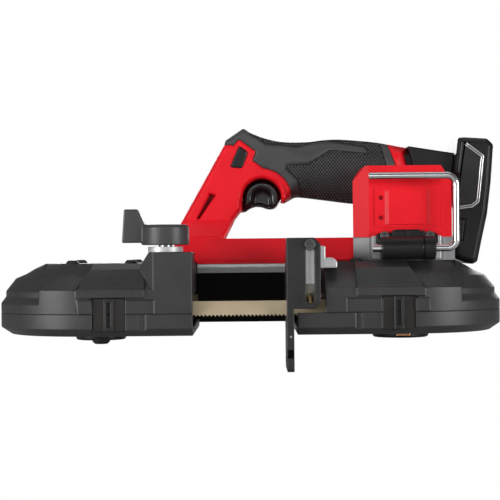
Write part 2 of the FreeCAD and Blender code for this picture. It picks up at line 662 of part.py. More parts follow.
def main_frame():
    """Cast bar and the two plates that carry the wheels."""
    beam = [(FRAME_FRONT, BEAM_TOP), (FRAME_FRONT, BEAM_TOP - BEAM_LIP),
            (FRAME_FRONT + BEAM_SLOPE, FRAME_BASE),
            (FRAME_BACK, FRAME_BASE), (FRAME_BACK, BEAM_TOP)]
    bar = plate_yz(beam, -IDLER_INNER + FIT_GAP, DRIVE_INNER - FIT_GAP)
    inner_front = FRAME_FRONT + BEAM_SLOPE
    tower_left = -IDLER_INNER - TOWER_LENGTH + FIT_GAP
    tower_right = -IDLER_INNER - SHELL_WALL - FIT_GAP
    idler_plan = [(-IDLER_INNER + OVERRUN, inner_front), (-IDLER_INNER + OVERRUN, FRAME_INNER_BACK),
                  (IDLER_X, FRAME_PAD_RADIUS), (IDLER_X, -FRAME_PAD_RADIUS), (tower_left, -FRAME_PAD_RADIUS),
                  (tower_left, -LEVER_PAD_FRONT), (tower_right, -LEVER_PAD_FRONT), (tower_right, inner_front)]
    drive_plan = [(DRIVE_INNER - OVERRUN, inner_front), (DRIVE_INNER - OVERRUN, FRAME_INNER_BACK),
                  (DRIVE_X, FRAME_PAD_RADIUS), (DRIVE_X, -FRAME_PAD_RADIUS),
                  (DRIVE_INNER + OVERRUN * 2, inner_front)]
    lug_x = IDLER_X + SLIDE_REACH + 3 * SLIDE_TRAVEL
    lug = box(lug_x, lug_x + LUG_LENGTH, SPRING_Y - SPRING_RADIUS - SPRING_WIRE,
              SPRING_Y + SPRING_RADIUS + SPRING_WIRE, SLIDE_BASE - RAIL_DEPTH, FRAME_BASE)
    body = fuse_all([bar, plate_xy(idler_plan, FRAME_BASE, FRAME_TOP),
                     plate_xy(drive_plan, FRAME_BASE, FRAME_TOP),
                     upright(IDLER_X, 0, FRAME_BASE, FRAME_TOP, FRAME_PAD_RADIUS),
                     upright(DRIVE_X, 0, FRAME_BASE, FRAME_TOP, FRAME_PAD_RADIUS), lug] + slide_rails())
    lever_bore = upright(LEVER_X, LEVER_Y, FRAME_BASE - OVERRUN, FRAME_TOP + OVERRUN,
                         LEVER_SHAFT_RADIUS + RUN_GAP)
    bearing_bore = upright(DRIVE_X, 0, FRAME_BASE - OVERRUN, FRAME_TOP + OVERRUN, OUTPUT_BEARING_RADIUS)
    return body.cut(lever_bore).cut(bearing_bore)


def rear_guard():
    """Sloping dark guard behind the cutting window, hollow for the returning run of the band."""
    top = FRAME_BASE - FIT_GAP
    foot = REAR_BASE + REAR_CHAMFER
    outer = [(REAR_SLOPE_TOP, top), (REAR_SLOPE_FOOT, foot), (REAR_SLOPE_FOOT + REAR_CHAMFER, REAR_BASE),
             (POD_RADIUS, REAR_BASE), (POD_RADIUS, BEAM_TOP), (FRAME_BACK + FIT_GAP, BEAM_TOP),
             (FRAME_BACK + FIT_GAP, top)]
    inner = [(REAR_SLOPE_TOP + 3 * REAR_WALL, top - REAR_WALL),
             (REAR_SLOPE_FOOT + REAR_WALL, foot + REAR_WALL / 2),
             (POD_RADIUS - REAR_WALL, REAR_BASE + REAR_WALL), (POD_RADIUS - REAR_WALL, top - REAR_WALL)]
    left, right = -IDLER_INNER + FIT_GAP, DRIVE_INNER - FIT_GAP
    shell = plate_yz(outer, left, right).cut(plate_yz(inner, left - OVERRUN, right + OVERRUN))
    slope = V(0, REAR_SLOPE_FOOT - REAR_SLOPE_TOP, foot - top)
    length = slope.Length
    slope.normalize()
    inward = V(0, -slope.z, slope.y)
    start = V(0, REAR_SLOPE_TOP, top) + slope * REAR_PANEL_INSET
    end = start + slope * (length - 2 * REAR_PANEL_INSET)
    ring_points = [start - inward * OVERRUN, start + inward * REAR_PANEL_DEPTH,
                   end + inward * REAR_PANEL_DEPTH, end - inward * OVERRUN]
    panel = plate_yz([(p.y, p.z) for p in ring_points], left + REAR_PANEL_INSET,
                     SHOE_FACE_X + SHOE_PLATE)
    guard_room = box(DRIVE_GUARD_INNER - FIT_GAP, DRIVE_INNER, 0, POD_RADIUS + OVERRUN, 0,
                     SEAM_HEIGHT + FIT_GAP)
    return shell.cut(panel).cut(guard_room)


def wheel(axis_x, bore):
    low = BAND_HEIGHT - TYRE_WIDTH / 2
    high = BAND_HEIGHT + TYRE_WIDTH / 2
    rim_outer = WHEEL_RADIUS - TYRE_THICKNESS
    rim_inner = rim_outer - RIM_THICKNESS
    web_low = BAND_HEIGHT - WEB_THICKNESS / 2
    web_high = BAND_HEIGHT + WEB_THICKNESS / 2
    half = [(bore, HUB_BASE), (HUB_RADIUS, HUB_BASE), (HUB_RADIUS, web_low), (rim_inner, web_low),
            (rim_inner, low),
            (rim_outer, low), (rim_outer, high), (rim_inner, high), (rim_inner, web_high),
            (HUB_RADIUS, web_high),
            (HUB_RADIUS, HUB_TOP), (bore, HUB_TOP)]
    body = lathe(axis_x, 0, half)
    orbit = (HUB_RADIUS + rim_inner) / 2
    for k in range(WHEEL_HOLES):
        turn = 2 * math.pi * k / WHEEL_HOLES
        body = body.cut(upright(axis_x + orbit * math.cos(turn), orbit * math.sin(turn), low, high,
                                WHEEL_HOLE_RADIUS))
    return body


def tyre(axis_x):
    low = BAND_HEIGHT - TYRE_WIDTH / 2
    return ring(axis_x, 0, low, low + TYRE_WIDTH, WHEEL_RADIUS, WHEEL_RADIUS - TYRE_THICKNESS)


def band_section(x, turn):
    across = V(0, math.sin(turn), math.cos(turn)) * (BAND_WIDTH / 2)
    thick = V(0, -math.cos(turn), math.sin(turn)) * (BAND_THICKNESS / 2)
    centre = V(x, -BAND_RADIUS, BAND_HEIGHT)
    corners = [centre + across + thick, centre + across - thick, centre - across - thick,
               centre - across + thick]
    return Part.makePolygon(corners + [corners[0]])


def blade():
    """Endless band: two half turns, a flat return and a twisted cutting run."""
    low, high = BAND_HEIGHT - BAND_WIDTH / 2, BAND_HEIGHT + BAND_WIDTH / 2
    near, far = BAND_RADIUS - BAND_THICKNESS / 2, BAND_RADIUS + BAND_THICKNESS / 2
    section = [(near, low), (far, low), (far, high), (near, high)]
    left = lathe(IDLER_X, 0, section, -180)
    right = lathe(DRIVE_X, 0, section, 180)
    back = box(IDLER_X, DRIVE_X, near, far, low, high)
    steps = 6
    start, end = IDLER_X + TWIST_HOLD, DRIVE_X - TWIST_HOLD
    stations = [(IDLER_X, 0)]
    stations += [(start + (LEFT_GUIDE_X - start) * k / steps, TWIST * k / steps) for k in range(steps + 1)]
    stations += [(RIGHT_GUIDE_X + (end - RIGHT_GUIDE_X) * k / steps, TWIST * (1 - k / steps))
                 for k in range(steps + 1)]
    stations += [(DRIVE_X, 0)]
    front = Part.makeLoft([band_section(x, turn) for x, turn in stations], True, True)
    return left.fuse([right, back, front])


def tension_slide():
    """Plate with the idler axle under it and an arm to the cam."""
    plate = box(IDLER_X - SLIDE_OUTER, IDLER_X + SLIDE_REACH, -SLIDE_HALF, SLIDE_HALF, SLIDE_BASE, SLIDE_TOP)
    pin_x = LEVER_X - CAM_THROW
    half_x = CAM_PIN_RADIUS + CAM_SLACK
    half_y = CAM_THROW + CAM_PIN_RADIUS + CAM_SLACK
    right = pin_x + half_x + CAM_WALL
    left = pin_x - half_x - CAM_WALL
    front = LEVER_Y - half_y - CAM_WALL
    arm = plate_xy([(IDLER_X + SLIDE_REACH - SLIDE_HALF, -OVERRUN),
                    (IDLER_X + SLIDE_REACH, -OVERRUN), (right, LEVER_Y + half_y + CAM_WALL), (right, front),
                    (left, front), (left, LEVER_Y + half_y)], SLIDE_BASE, SLIDE_TOP)
    slot = box(pin_x - half_x, pin_x + half_x, LEVER_Y - half_y, LEVER_Y + half_y,
               SLIDE_BASE - OVERRUN, SLIDE_TOP + OVERRUN)
    stem = upright(IDLER_X, 0, CAP_TOP, SLIDE_BASE, AXLE_RADIUS)
    flange = upright(IDLER_X, 0, SLIDE_BASE - AXLE_FLANGE, SLIDE_BASE, AXLE_FLANGE_RADIUS)
    return fuse_all([plate, arm, stem, flange]).cut(slot)


def slide_rails():
    """Two channels under the frame that hold the slide."""
    low = SLIDE_BASE - SLIDE_GAP - RAIL_DEPTH
    rails = []
    for side in (-1, 1):
        near = SLIDE_HALF - RAIL_LIP
        far = SLIDE_HALF + SLIDE_GAP + RAIL_WALL
        x0, x1 = IDLER_X - SLIDE_OUTER, IDLER_X - SLIDE_OUTER + RAIL_LENGTH
        y0, y1 = sorted((side * near, side * far))
        channel = box(x0, x1, y0, y1, low, FRAME_BASE)
        g0, g1 = sorted((side * (near - OVERRUN), side * (SLIDE_HALF + SLIDE_GAP)))
        groove = box(x0 - OVERRUN, x1 + OVERRUN, g0, g1, SLIDE_BASE - SLIDE_GAP, SLIDE_TOP + SLIDE_GAP)
        rails.append(channel.cut(groove))
    return rails


def tension_spring():
    x0 = IDLER_X + SLIDE_REACH
    x1 = x0 + 3 * SLIDE_TRAVEL
    z = (SLIDE_BASE + SLIDE_TOP) / 2
    outer = rod(V(x0, SPRING_Y, z), V(x1, SPRING_Y, z), SPRING_RADIUS)
    inner = rod(V(x0 - OVERRUN, SPRING_Y, z), V(x1 + OVERRUN, SPRING_Y, z), SPRING_RADIUS - SPRING_WIRE)
    return outer.cut(inner)


def idler_bearings():
    lower = ring(IDLER_X, 0, HUB_BASE, HUB_BASE + BEARING_WIDTH, BEARING_RADIUS, AXLE_RADIUS + RUN_GAP)
    upper = ring(IDLER_X, 0, HUB_TOP - BEARING_WIDTH, HUB_TOP, BEARING_RADIUS, AXLE_RADIUS + RUN_GAP)
    return Part.makeCompound([lower, upper])


def hub_cap(axis_x, radius):
    edge = CAP_THICKNESS / 4
    low = CAP_TOP - CAP_THICKNESS
    return lathe(axis_x, 0,
                 [(0, low), (radius - edge, low), (radius, low + edge), (radius, CAP_TOP), (0, CAP_TOP)])


def bush_tab(spare, inner):
    """Block from the bush to the front rim of the drive cap."""
    half = BUSH_TAB_WIDTH / 2 + spare
    return box(DRIVE_X - half, DRIVE_X + half, -DRIVE_CAP_RADIUS - spare, -inner,
               CAP_TOP - BUSH_TAB_DROP - spare, HUB_BASE)


def drive_cap():
    return hub_cap(DRIVE_X, DRIVE_CAP_RADIUS).cut(bush_tab(FIT_GAP, OUTPUT_RADIUS))


def drive_bush():
    barrel = ring(DRIVE_X, 0, CAP_TOP, HUB_BASE, BUSH_RADIUS, OUTPUT_RADIUS)
    return fuse_all([barrel, bush_tab(0, (OUTPUT_RADIUS + BUSH_RADIUS) / 2)])


def idler_nut():
    low = CAP_TOP - CAP_THICKNESS
    crown = NUT_RADIUS * math.sqrt(2) / 2
    dome_part = lathe(IDLER_X, 0, [(0, low - NUT_HEIGHT), (crown, low - NUT_HEIGHT),
                                   (NUT_RADIUS, low - NUT_HEIGHT / 2), (NUT_RADIUS, low), (0, low)])
    return fuse_all([hub_cap(IDLER_X, CAP_RADIUS), dome_part])


def tension_shaft():
    """Lever shaft with an eccentric pin under the frame."""
    knob_base = TOWER_TOP + COLLAR_HEIGHT + KNOB_GAP
    stem = upright(LEVER_X, LEVER_Y, FRAME_BASE - SLIDE_GAP, knob_base, LEVER_SHAFT_RADIUS)
    disc = upright(LEVER_X, LEVER_Y, SLIDE_TOP + SLIDE_GAP, FRAME_BASE - SLIDE_GAP,
                   CAM_THROW + CAM_PIN_RADIUS + CAM_SLACK)
    pin = upright(LEVER_X - CAM_THROW, LEVER_Y, SLIDE_BASE, FRAME_BASE - SLIDE_GAP, CAM_PIN_RADIUS)
    return fuse_all([stem, disc, pin])


def tension_lever():
    base = TOWER_TOP + COLLAR_HEIGHT + KNOB_GAP
    top = base + KNOB_HEIGHT
    body = lathe(LEVER_X, LEVER_Y, [(0, base), (KNOB_RADIUS, base), (KNOB_RADIUS, top - KNOB_EDGE),
                                    (KNOB_RADIUS - KNOB_EDGE, top), (0, top)])
    tip = LEVER_X - WING_REACH
    wing = [(LEVER_X, base + KNOB_EDGE), (tip, base + KNOB_EDGE), (tip + KNOB_EDGE, base + WING_TOP),
            (tip + WING_TIP, base + WING_TOP), (LEVER_X - KNOB_RADIUS + KNOB_EDGE * 2, top - KNOB_EDGE),
            (LEVER_X, top - KNOB_EDGE)]
    blade_side = plate_xz(wing, LEVER_Y - WING_HALF, LEVER_Y + WING_HALF)
    return fuse_all([body, blade_side])


def tension_collar():
    return ring(LEVER_X, LEVER_Y, TOWER_TOP, TOWER_TOP + COLLAR_HEIGHT, COLLAR_RADIUS,
                LEVER_SHAFT_RADIUS + RUN_GAP)


def involute(angle):
    return math.tan(angle) - angle


def gear_outline(teeth, addendum, dedendum, thicken):
    """Tooth outline in polar form, one tooth centred on angle zero."""
    pitch = GEAR_MODULE * teeth / 2
    base = pitch * math.cos(math.radians(PRESSURE_DEG))
    root = pitch - dedendum * GEAR_MODULE
    tip = pitch + addendum * GEAR_MODULE
    half = math.pi / (2 * teeth) * (1 + thicken) + involute(math.radians(PRESSURE_DEG))
    flank_steps = 4
    start = max(root, base)
    flank = [(root, half)] if root < base else []
    for k in range(flank_steps + 1):
        radius = start + (tip - start) * k / flank_steps
        flank.append((radius, half - involute(math.acos(min(1, base / radius)))))
    points = []
    for tooth in range(teeth):
        middle = 2 * math.pi * tooth / teeth
        for radius, turn in flank:
            points.append((radius, middle - turn))
        for radius, turn in reversed(flank):
            points.append((radius, middle + turn))
    return points


def toothed(x, y, z0, z1, outline):
    return plate_xy([(x + r * math.cos(a), y + r * math.sin(a)) for r, a in outline], z0, z1)


def gear(x, y, z0, teeth):
    outline = gear_outline(teeth, ADDENDUM_SHARE, DEDENDUM_SHARE, -BACKLASH_SHARE)
    return toothed(x, y, z0, z0 + GEAR_WIDTH, outline)


def ring_gear():
    blank = upright(DRIVE_X, 0, DECK_HEIGHT, PLANET_TOP, RING_RADIUS)
    outline = gear_outline(RING_TEETH, DEDENDUM_SHARE, ADDENDUM_SHARE, BACKLASH_SHARE)
    return blank.cut(toothed(DRIVE_X, 0, DECK_HEIGHT - OVERRUN, PLANET_TOP + OVERRUN, outline))


def planet_places():
    turns = [2 * math.pi * k / PLANET_COUNT for k in range(PLANET_COUNT)]
    return [(DRIVE_X + PLANET_ORBIT * math.cos(t), PLANET_ORBIT * math.sin(t), t) for t in turns]


def planet(index):
    x, y, turn = planet_places()[index]
    body = gear(0, 0, PLANET_BASE, PLANET_TEETH)
    body = body.cut(upright(0, 0, PLANET_BASE - OVERRUN, PLANET_TOP + OVERRUN, PIN_RADIUS + RUN_GAP))
    body.rotate(V(0, 0, 0), V(0, 0, 1), math.degrees(turn))
    body.translate(V(x, y, 0))
    return body


def output_shaft():
    """Planet carrier and the shaft down to the drive wheel."""
    top = DECK_HEIGHT
    plate = upright(DRIVE_X, 0, top - CARRIER_THICKNESS, top, CARRIER_RADIUS)
    pins = [upright(x, y, top, PLANET_TOP, PIN_RADIUS) for x, y, _ in planet_places()]
    stem = upright(DRIVE_X, 0, CAP_TOP, top, OUTPUT_RADIUS)
    return fuse_all([plate, stem] + pins)


def motor_rotor():
    """Rotor drum on the motor shaft, with the sun gear cut on its lower end."""
    edge = BELL_THICKNESS / 2
    sun = gear(DRIVE_X, 0, PLANET_BASE, SUN_TEETH)
    stem = upright(DRIVE_X, 0, PLANET_BASE, MOTOR_TOP + BELL_THICKNESS, SHAFT_RADIUS)
    drum = upright(DRIVE_X, 0, MOTOR_BASE + edge, MOTOR_TOP - edge, ROTOR_RADIUS)
    return fuse_all([sun, stem, drum])


def motor_bells():
    shapes = []
    for low in (CASE_TOP, MOTOR_TOP):
        shapes.append(ring(DRIVE_X, 0, low, low + BELL_THICKNESS, MOTOR_RADIUS, SHAFT_RADIUS + RUN_GAP))
    return Part.makeCompound(shapes)


def motor_stator():
    return ring(DRIVE_X, 0, MOTOR_BASE, MOTOR_TOP, MOTOR_RADIUS, MOTOR_BORE)


def output_bearing():
    return ring(DRIVE_X, 0, FRAME_BASE, FRAME_TOP, OUTPUT_BEARING_RADIUS, OUTPUT_RADIUS + RUN_GAP)


def case_plan(right):
    left = DRIVE_X - CASE_LEFT
    end = DRIVE_X + right
    return [(left + CASE_TAPER, CASE_BACK), (left, CASE_FACET_DEPTH - CASE_FRONT),
            (left + CASE_FACET, -CASE_FRONT),
            (end - CASE_FACET_DEPTH, -CASE_FRONT), (end, CASE_FACET_DEPTH - CASE_FRONT), (end, CASE_BACK)]


def gear_case():
    body = plate_xy(case_plan(CASE_RIGHT), DECK_HEIGHT, CASE_TOP)
    bore = upright(DRIVE_X, 0, DECK_HEIGHT - OVERRUN, PLANET_TOP + STAGE_GAP, RING_RADIUS)
    throat = upright(DRIVE_X, 0, DECK_HEIGHT, CASE_TOP + OVERRUN, MOTOR_THROAT)
    return body.cut(bore).cut(throat)


def motor_cover():
    left, right = DRIVE_X - CASE_LEFT, DRIVE_X + COVER_RIGHT
    front = [(left, CASE_TOP), (left, COVER_TOP - COVER_BEVEL_Z), (left + COVER_BEVEL_X, COVER_TOP),
             (right - COVER_BEVEL_X, COVER_TOP), (right, COVER_TOP - COVER_BEVEL_Z), (right, CASE_TOP)]
    block = plate_xy(case_plan(COVER_RIGHT), CASE_TOP, COVER_TOP)
    block = block.common(plate_xz(front, -CASE_FRONT - OVERRUN, CASE_BACK + OVERRUN))
    mid = DRIVE_X + CASE_FACET / 4
    rise = CASE_TOP + COVER_FRAME_BASE
    frame = box(mid - COVER_FRAME_LENGTH / 2, mid + COVER_FRAME_LENGTH / 2, -CASE_FRONT - COVER_FRAME_PROUD,
                -CASE_FRONT + COVER_WALL, rise, rise + COVER_FRAME_HEIGHT)
    face = -CASE_FRONT - COVER_FRAME_PROUD
    half = COVER_PANEL_LENGTH / 2
    margin = (COVER_FRAME_HEIGHT - COVER_PANEL_HEIGHT) / 2
    crest = face - COVER_PANEL_PROUD
    panel_plan = [(mid - half, face), (mid - half + COVER_PANEL_EDGE, crest + COVER_PANEL_EDGE / 4),
                  (mid, crest),
                  (mid + half - COVER_PANEL_EDGE, crest + COVER_PANEL_EDGE / 4), (mid + half, face)]
    panel = plate_xy(panel_plan, rise + margin, rise + COVER_FRAME_HEIGHT - margin)
    room = [(left + COVER_WALL, CASE_TOP - OVERRUN), (left + COVER_WALL, COVER_TOP - COVER_BEVEL_Z),
            (left + COVER_BEVEL_X, COVER_TOP - COVER_WALL), (right - COVER_BEVEL_X, COVER_TOP - COVER_WALL),
            (right - COVER_WALL, COVER_TOP - COVER_BEVEL_Z), (right - COVER_WALL, CASE_TOP - OVERRUN)]
    hollow = plate_xz(room, -CASE_FRONT + COVER_WALL, CASE_BACK - COVER_WALL)
    plan = [(x + math.copysign(COVER_WALL, DRIVE_X - x), y * (1 - COVER_WALL / CASE_FRONT))
            for x, y in case_plan(COVER_RIGHT)]
    hollow = hollow.common(plate_xy(plan, CASE_TOP - OVERRUN, COVER_TOP))
    cover = fuse_all([block, frame, panel]).cut(hollow)
    dimple_x = mid - half - COVER_PANEL_EDGE
    for shift in (-DIMPLE_SPREAD / 2, DIMPLE_SPREAD / 2):
        spot = V(dimple_x, face + DIMPLE_DEPTH, rise + COVER_FRAME_HEIGHT / 2 + shift)
        cover = cover.cut(rod(spot, spot - V(0, OVERRUN, 0), DIMPLE_RADIUS))
    return cover


def control_board():
    left = DRIVE_X - CASE_LEFT + CASE_TAPER + COVER_WALL
    return box(left, left + BOARD_THICKNESS, -CASE_FRONT + CASE_FACET + COVER_WALL, CASE_BACK - COVER_WALL,
               CASE_TOP, CASE_TOP + BOARD_HEIGHT)


def guide_spot(x, along, away):
    return V(x, -BAND_RADIUS, BAND_HEIGHT) + ACROSS * along + NORMAL * away


def guide_rod(x, away, low, high, radius):
    return rod(guide_spot(x, low, away), guide_spot(x, high, away), radius)


ROLLER_AWAY = BAND_THICKNESS / 2 + FIT_GAP + GUIDE_ROLLER_RADIUS
BLOCK_LOW = BAND_WIDTH / 2 + 3 * FIT_GAP
ROLLER_LOW = BLOCK_LOW - FIT_GAP - GUIDE_ROLLER_LENGTH


def guide_roller(x, side):
    away = side * ROLLER_AWAY
    body = guide_rod(x, away, ROLLER_LOW, ROLLER_LOW + GUIDE_ROLLER_LENGTH, GUIDE_ROLLER_RADIUS)
    return body.cut(guide_rod(x, away, ROLLER_LOW - OVERRUN, BLOCK_LOW + OVERRUN, GUIDE_PIN_RADIUS + RUN_GAP))


def guide_prism(x, half_x, low, high, near, far):
    """Block square to the twisted band."""
    corners = [guide_spot(x - half_x, low, near), guide_spot(x - half_x, high, near),
               guide_spot(x - half_x, high, far), guide_spot(x - half_x, low, far)]
    return polygon_face(corners).extrude(V(2 * half_x, 0, 0))


def guide_head(x):
    """Block over the band's back edge that holds the roller pins."""
    block = guide_prism(x, GUIDE_BLOCK_LENGTH / 2, BLOCK_LOW, BLOCK_LOW + GUIDE_BLOCK_HEIGHT,
                        -GUIDE_BLOCK_HALF, GUIDE_BLOCK_HALF)
    pins = [guide_rod(x, side * ROLLER_AWAY, ROLLER_LOW, BLOCK_LOW + GUIDE_BLOCK_HEIGHT / 2, GUIDE_PIN_RADIUS)
            for side in (-1, 1)]
    return block.fuse(pins)


def left_guide_arm():
    """Guide hung from the frame inside the tension tower."""
    top = BLOCK_LOW + GUIDE_BLOCK_HEIGHT
    head_y = guide_spot(LEFT_GUIDE_X, top, 0).y
    post = box(LEFT_GUIDE_X - GUIDE_BLOCK_LENGTH / 2, LEFT_GUIDE_X + GUIDE_BLOCK_LENGTH / 2 - FIT_GAP,
               -LEVER_PAD_FRONT, LEVER_Y - CAM_THROW - CAM_PIN_RADIUS - CAM_SLACK - CAM_WALL - FIT_GAP,
               guide_spot(LEFT_GUIDE_X, BLOCK_LOW, 0).z, FRAME_BASE)
    back = box(LEFT_GUIDE_X - GUIDE_BLOCK_LENGTH / 2, LEFT_GUIDE_X + GUIDE_BLOCK_LENGTH / 2 - FIT_GAP,
               -LEVER_PAD_FRONT, head_y, guide_spot(LEFT_GUIDE_X, top, 0).z - GUIDE_BLOCK_HEIGHT / 2,
               SLIDE_BASE - FIT_GAP)
    room = guide_prism(LEFT_GUIDE_X, GUIDE_BLOCK_LENGTH, ROLLER_LOW - OVERRUN, BLOCK_LOW,
                       -GUIDE_BLOCK_HALF * 2, GUIDE_BLOCK_HALF * 3)
    arm_room = box(LEFT_GUIDE_X - GUIDE_BLOCK_LENGTH, LEFT_GUIDE_X + GUIDE_BLOCK_LENGTH, post.BoundBox.YMax,
                   LEVER_Y, SLIDE_BASE - FIT_GAP, FRAME_BASE)
    return fuse_all([post, back]).cut(room).fuse(guide_head(LEFT_GUIDE_X)).cut(arm_room)


def right_guide_arm():
    """Visible guide arm: an upright behind the shoe and a foot on the drive housing's deck."""
    left = RIGHT_GUIDE_X - GUIDE_BLOCK_LENGTH / 2
    right = RIGHT_GUIDE_X + GUIDE_BLOCK_LENGTH / 2
    front = SHOE_THICKNESS + SLIDE_GAP - SHOE_FRONT
    low = guide_spot(RIGHT_GUIDE_X, BLOCK_LOW, 0).z
    post = box(left, right, front, front + GUIDE_ARM_DEPTH, low, GUIDE_ARM_TOP)
    foot_end = DRIVE_INNER + GUIDE_FOOT_LENGTH
    shelf = DECK_HEIGHT - GUIDE_FOOT_RISE
    knee = -POD_RADIUS * BAND_PROFILE_SHARES[-1][0]
    foot = [(front + GUIDE_ARM_DEPTH / 2, shelf), (front + GUIDE_ARM_DEPTH / 2, GUIDE_FOOT_TOP),
            (-GUIDE_FOOT_BACK, GUIDE_FOOT_TOP), (-GUIDE_FOOT_BACK, DECK_HEIGHT), (knee, DECK_HEIGHT),
            (knee - GUIDE_FOOT_RISE * 3, shelf)]
    strip = right + GUIDE_STRIP
    sides = [(right - FIT_GAP, shelf), (right - FIT_GAP, GUIDE_FOOT_TOP), (strip, GUIDE_FOOT_TOP),
             (strip, GUIDE_STEP_TOP), (foot_end - GUIDE_FOOT_CORNER, GUIDE_STEP_TOP),
             (foot_end, GUIDE_STEP_TOP - GUIDE_FOOT_CORNER), (foot_end, shelf)]
    tab = plate_yz(foot, right - FIT_GAP, foot_end).common(plate_xz(sides, front, 0))
    room = guide_prism(RIGHT_GUIDE_X, GUIDE_BLOCK_LENGTH, ROLLER_LOW - OVERRUN, BLOCK_LOW,
                       -GUIDE_BLOCK_HALF * 2, GUIDE_BLOCK_HALF * 3)
    screw_z = shoe_slot_top() - SHOE_SLOT_WIDTH / 2
    thread = rod(V(RIGHT_GUIDE_X, front - OVERRUN, screw_z),
                 V(RIGHT_GUIDE_X, front + GUIDE_ARM_DEPTH / 2, screw_z),
                 SHOE_SHANK_RADIUS)
    return fuse_all([post, tab]).cut(room).fuse(guide_head(RIGHT_GUIDE_X)).cut(thread)


def shoe_slot_top():
    return SHOE_TOP - SHOE_SLOT_EDGE


def shoe():
    """Steel angle: slotted flange in front, forked work plate astride the band."""
    left = SHOE_FACE_X
    right = SHOE_FACE_X + SHOE_PLATE + SHOE_WIDTH - SHOE_THICKNESS
    flange = [(left, SHOE_FLANGE_BASE), (left, SHOE_TOP), (right - SHOE_CORNER, SHOE_TOP),
              (right, SHOE_TOP - SHOE_CORNER),
              (right, SHOE_FLANGE_BASE + SHOE_CORNER), (right - SHOE_CORNER, SHOE_FLANGE_BASE)]
    face = plate_xz(flange, -SHOE_FRONT, SHOE_THICKNESS - SHOE_FRONT)
    reach = BAND_WIDTH / 2 * math.sin(TWIST) + FORK_MARGIN
    fork_front, fork_back = -BAND_RADIUS - reach, -BAND_RADIUS + reach
    fork_top = BAND_HEIGHT + BAND_WIDTH / 2 * math.cos(TWIST) + FORK_TOP_MARGIN
    plate_outline = [(-SHOE_FRONT, NOTCH_DEPTH), (-SHOE_FRONT, SHOE_TOP), (-BAND_RADIUS - reach, SHOE_TOP),
                     (-SHOE_BACK, SHOE_PLATE_TOP), (-SHOE_BACK, SHOE_CORNER), (-SHOE_BACK - SHOE_CORNER, 0),
                     (fork_back, 0), (fork_back, fork_top), (fork_front, fork_top), (fork_front, 0),
                     (-SHOE_FRONT + NOTCH_DEPTH, 0)]
    plate = plate_yz(plate_outline, left, left + SHOE_PLATE)
    notch = box(left - OVERRUN, left + SHOE_PLATE + OVERRUN, -SHOE_FRONT - OVERRUN, NOTCH_DEPTH - SHOE_FRONT,
                NOTCH_LOW, NOTCH_LOW + NOTCH_HEIGHT)
    half = SHOE_SLOT_WIDTH / 2
    high = shoe_slot_top() - half
    low = high - SHOE_TRAVEL - SHOE_SLOT_SPARE
    slot = box(RIGHT_GUIDE_X - half, RIGHT_GUIDE_X + half, -SHOE_FRONT - OVERRUN,
               SHOE_THICKNESS - SHOE_FRONT + OVERRUN,
               low, high)
    ends = [rod(V(RIGHT_GUIDE_X, -SHOE_FRONT - OVERRUN, z),
                V(RIGHT_GUIDE_X, SHOE_THICKNESS - SHOE_FRONT + OVERRUN, z),
                half) for z in (low, high)]
    return fuse_all([face, plate]).cut(notch).cut(slot).cut(ends[0]).cut(ends[1])


def shoe_screw():
    z = shoe_slot_top() - SHOE_SLOT_WIDTH / 2
    front = -SHOE_FRONT - SLIDE_GAP
    back = SHOE_THICKNESS + SLIDE_GAP - SHOE_FRONT + GUIDE_ARM_DEPTH / 2
    head = rod(V(RIGHT_GUIDE_X, front, z), V(RIGHT_GUIDE_X, front - SHOE_SCREW_HEAD, z), SHOE_SCREW_RADIUS)
    shank = rod(V(RIGHT_GUIDE_X, front, z), V(RIGHT_GUIDE_X, back, z), SHOE_SHANK_RADIUS)
    reach, half = SHOE_SCREW_RADIUS * 2 / 3, SHOE_SCREW_CROSS / 2
    low, high = front - SHOE_SCREW_HEAD - OVERRUN, front - SHOE_SCREW_HEAD / 2
    across = box(RIGHT_GUIDE_X - reach, RIGHT_GUIDE_X + reach, low, high, z - half, z + half)
    upright_slot = box(RIGHT_GUIDE_X - half, RIGHT_GUIDE_X + half, low, high, z - reach, z + reach)
    return head.fuse(shank).cut(fuse_all([across, upright_slot]))


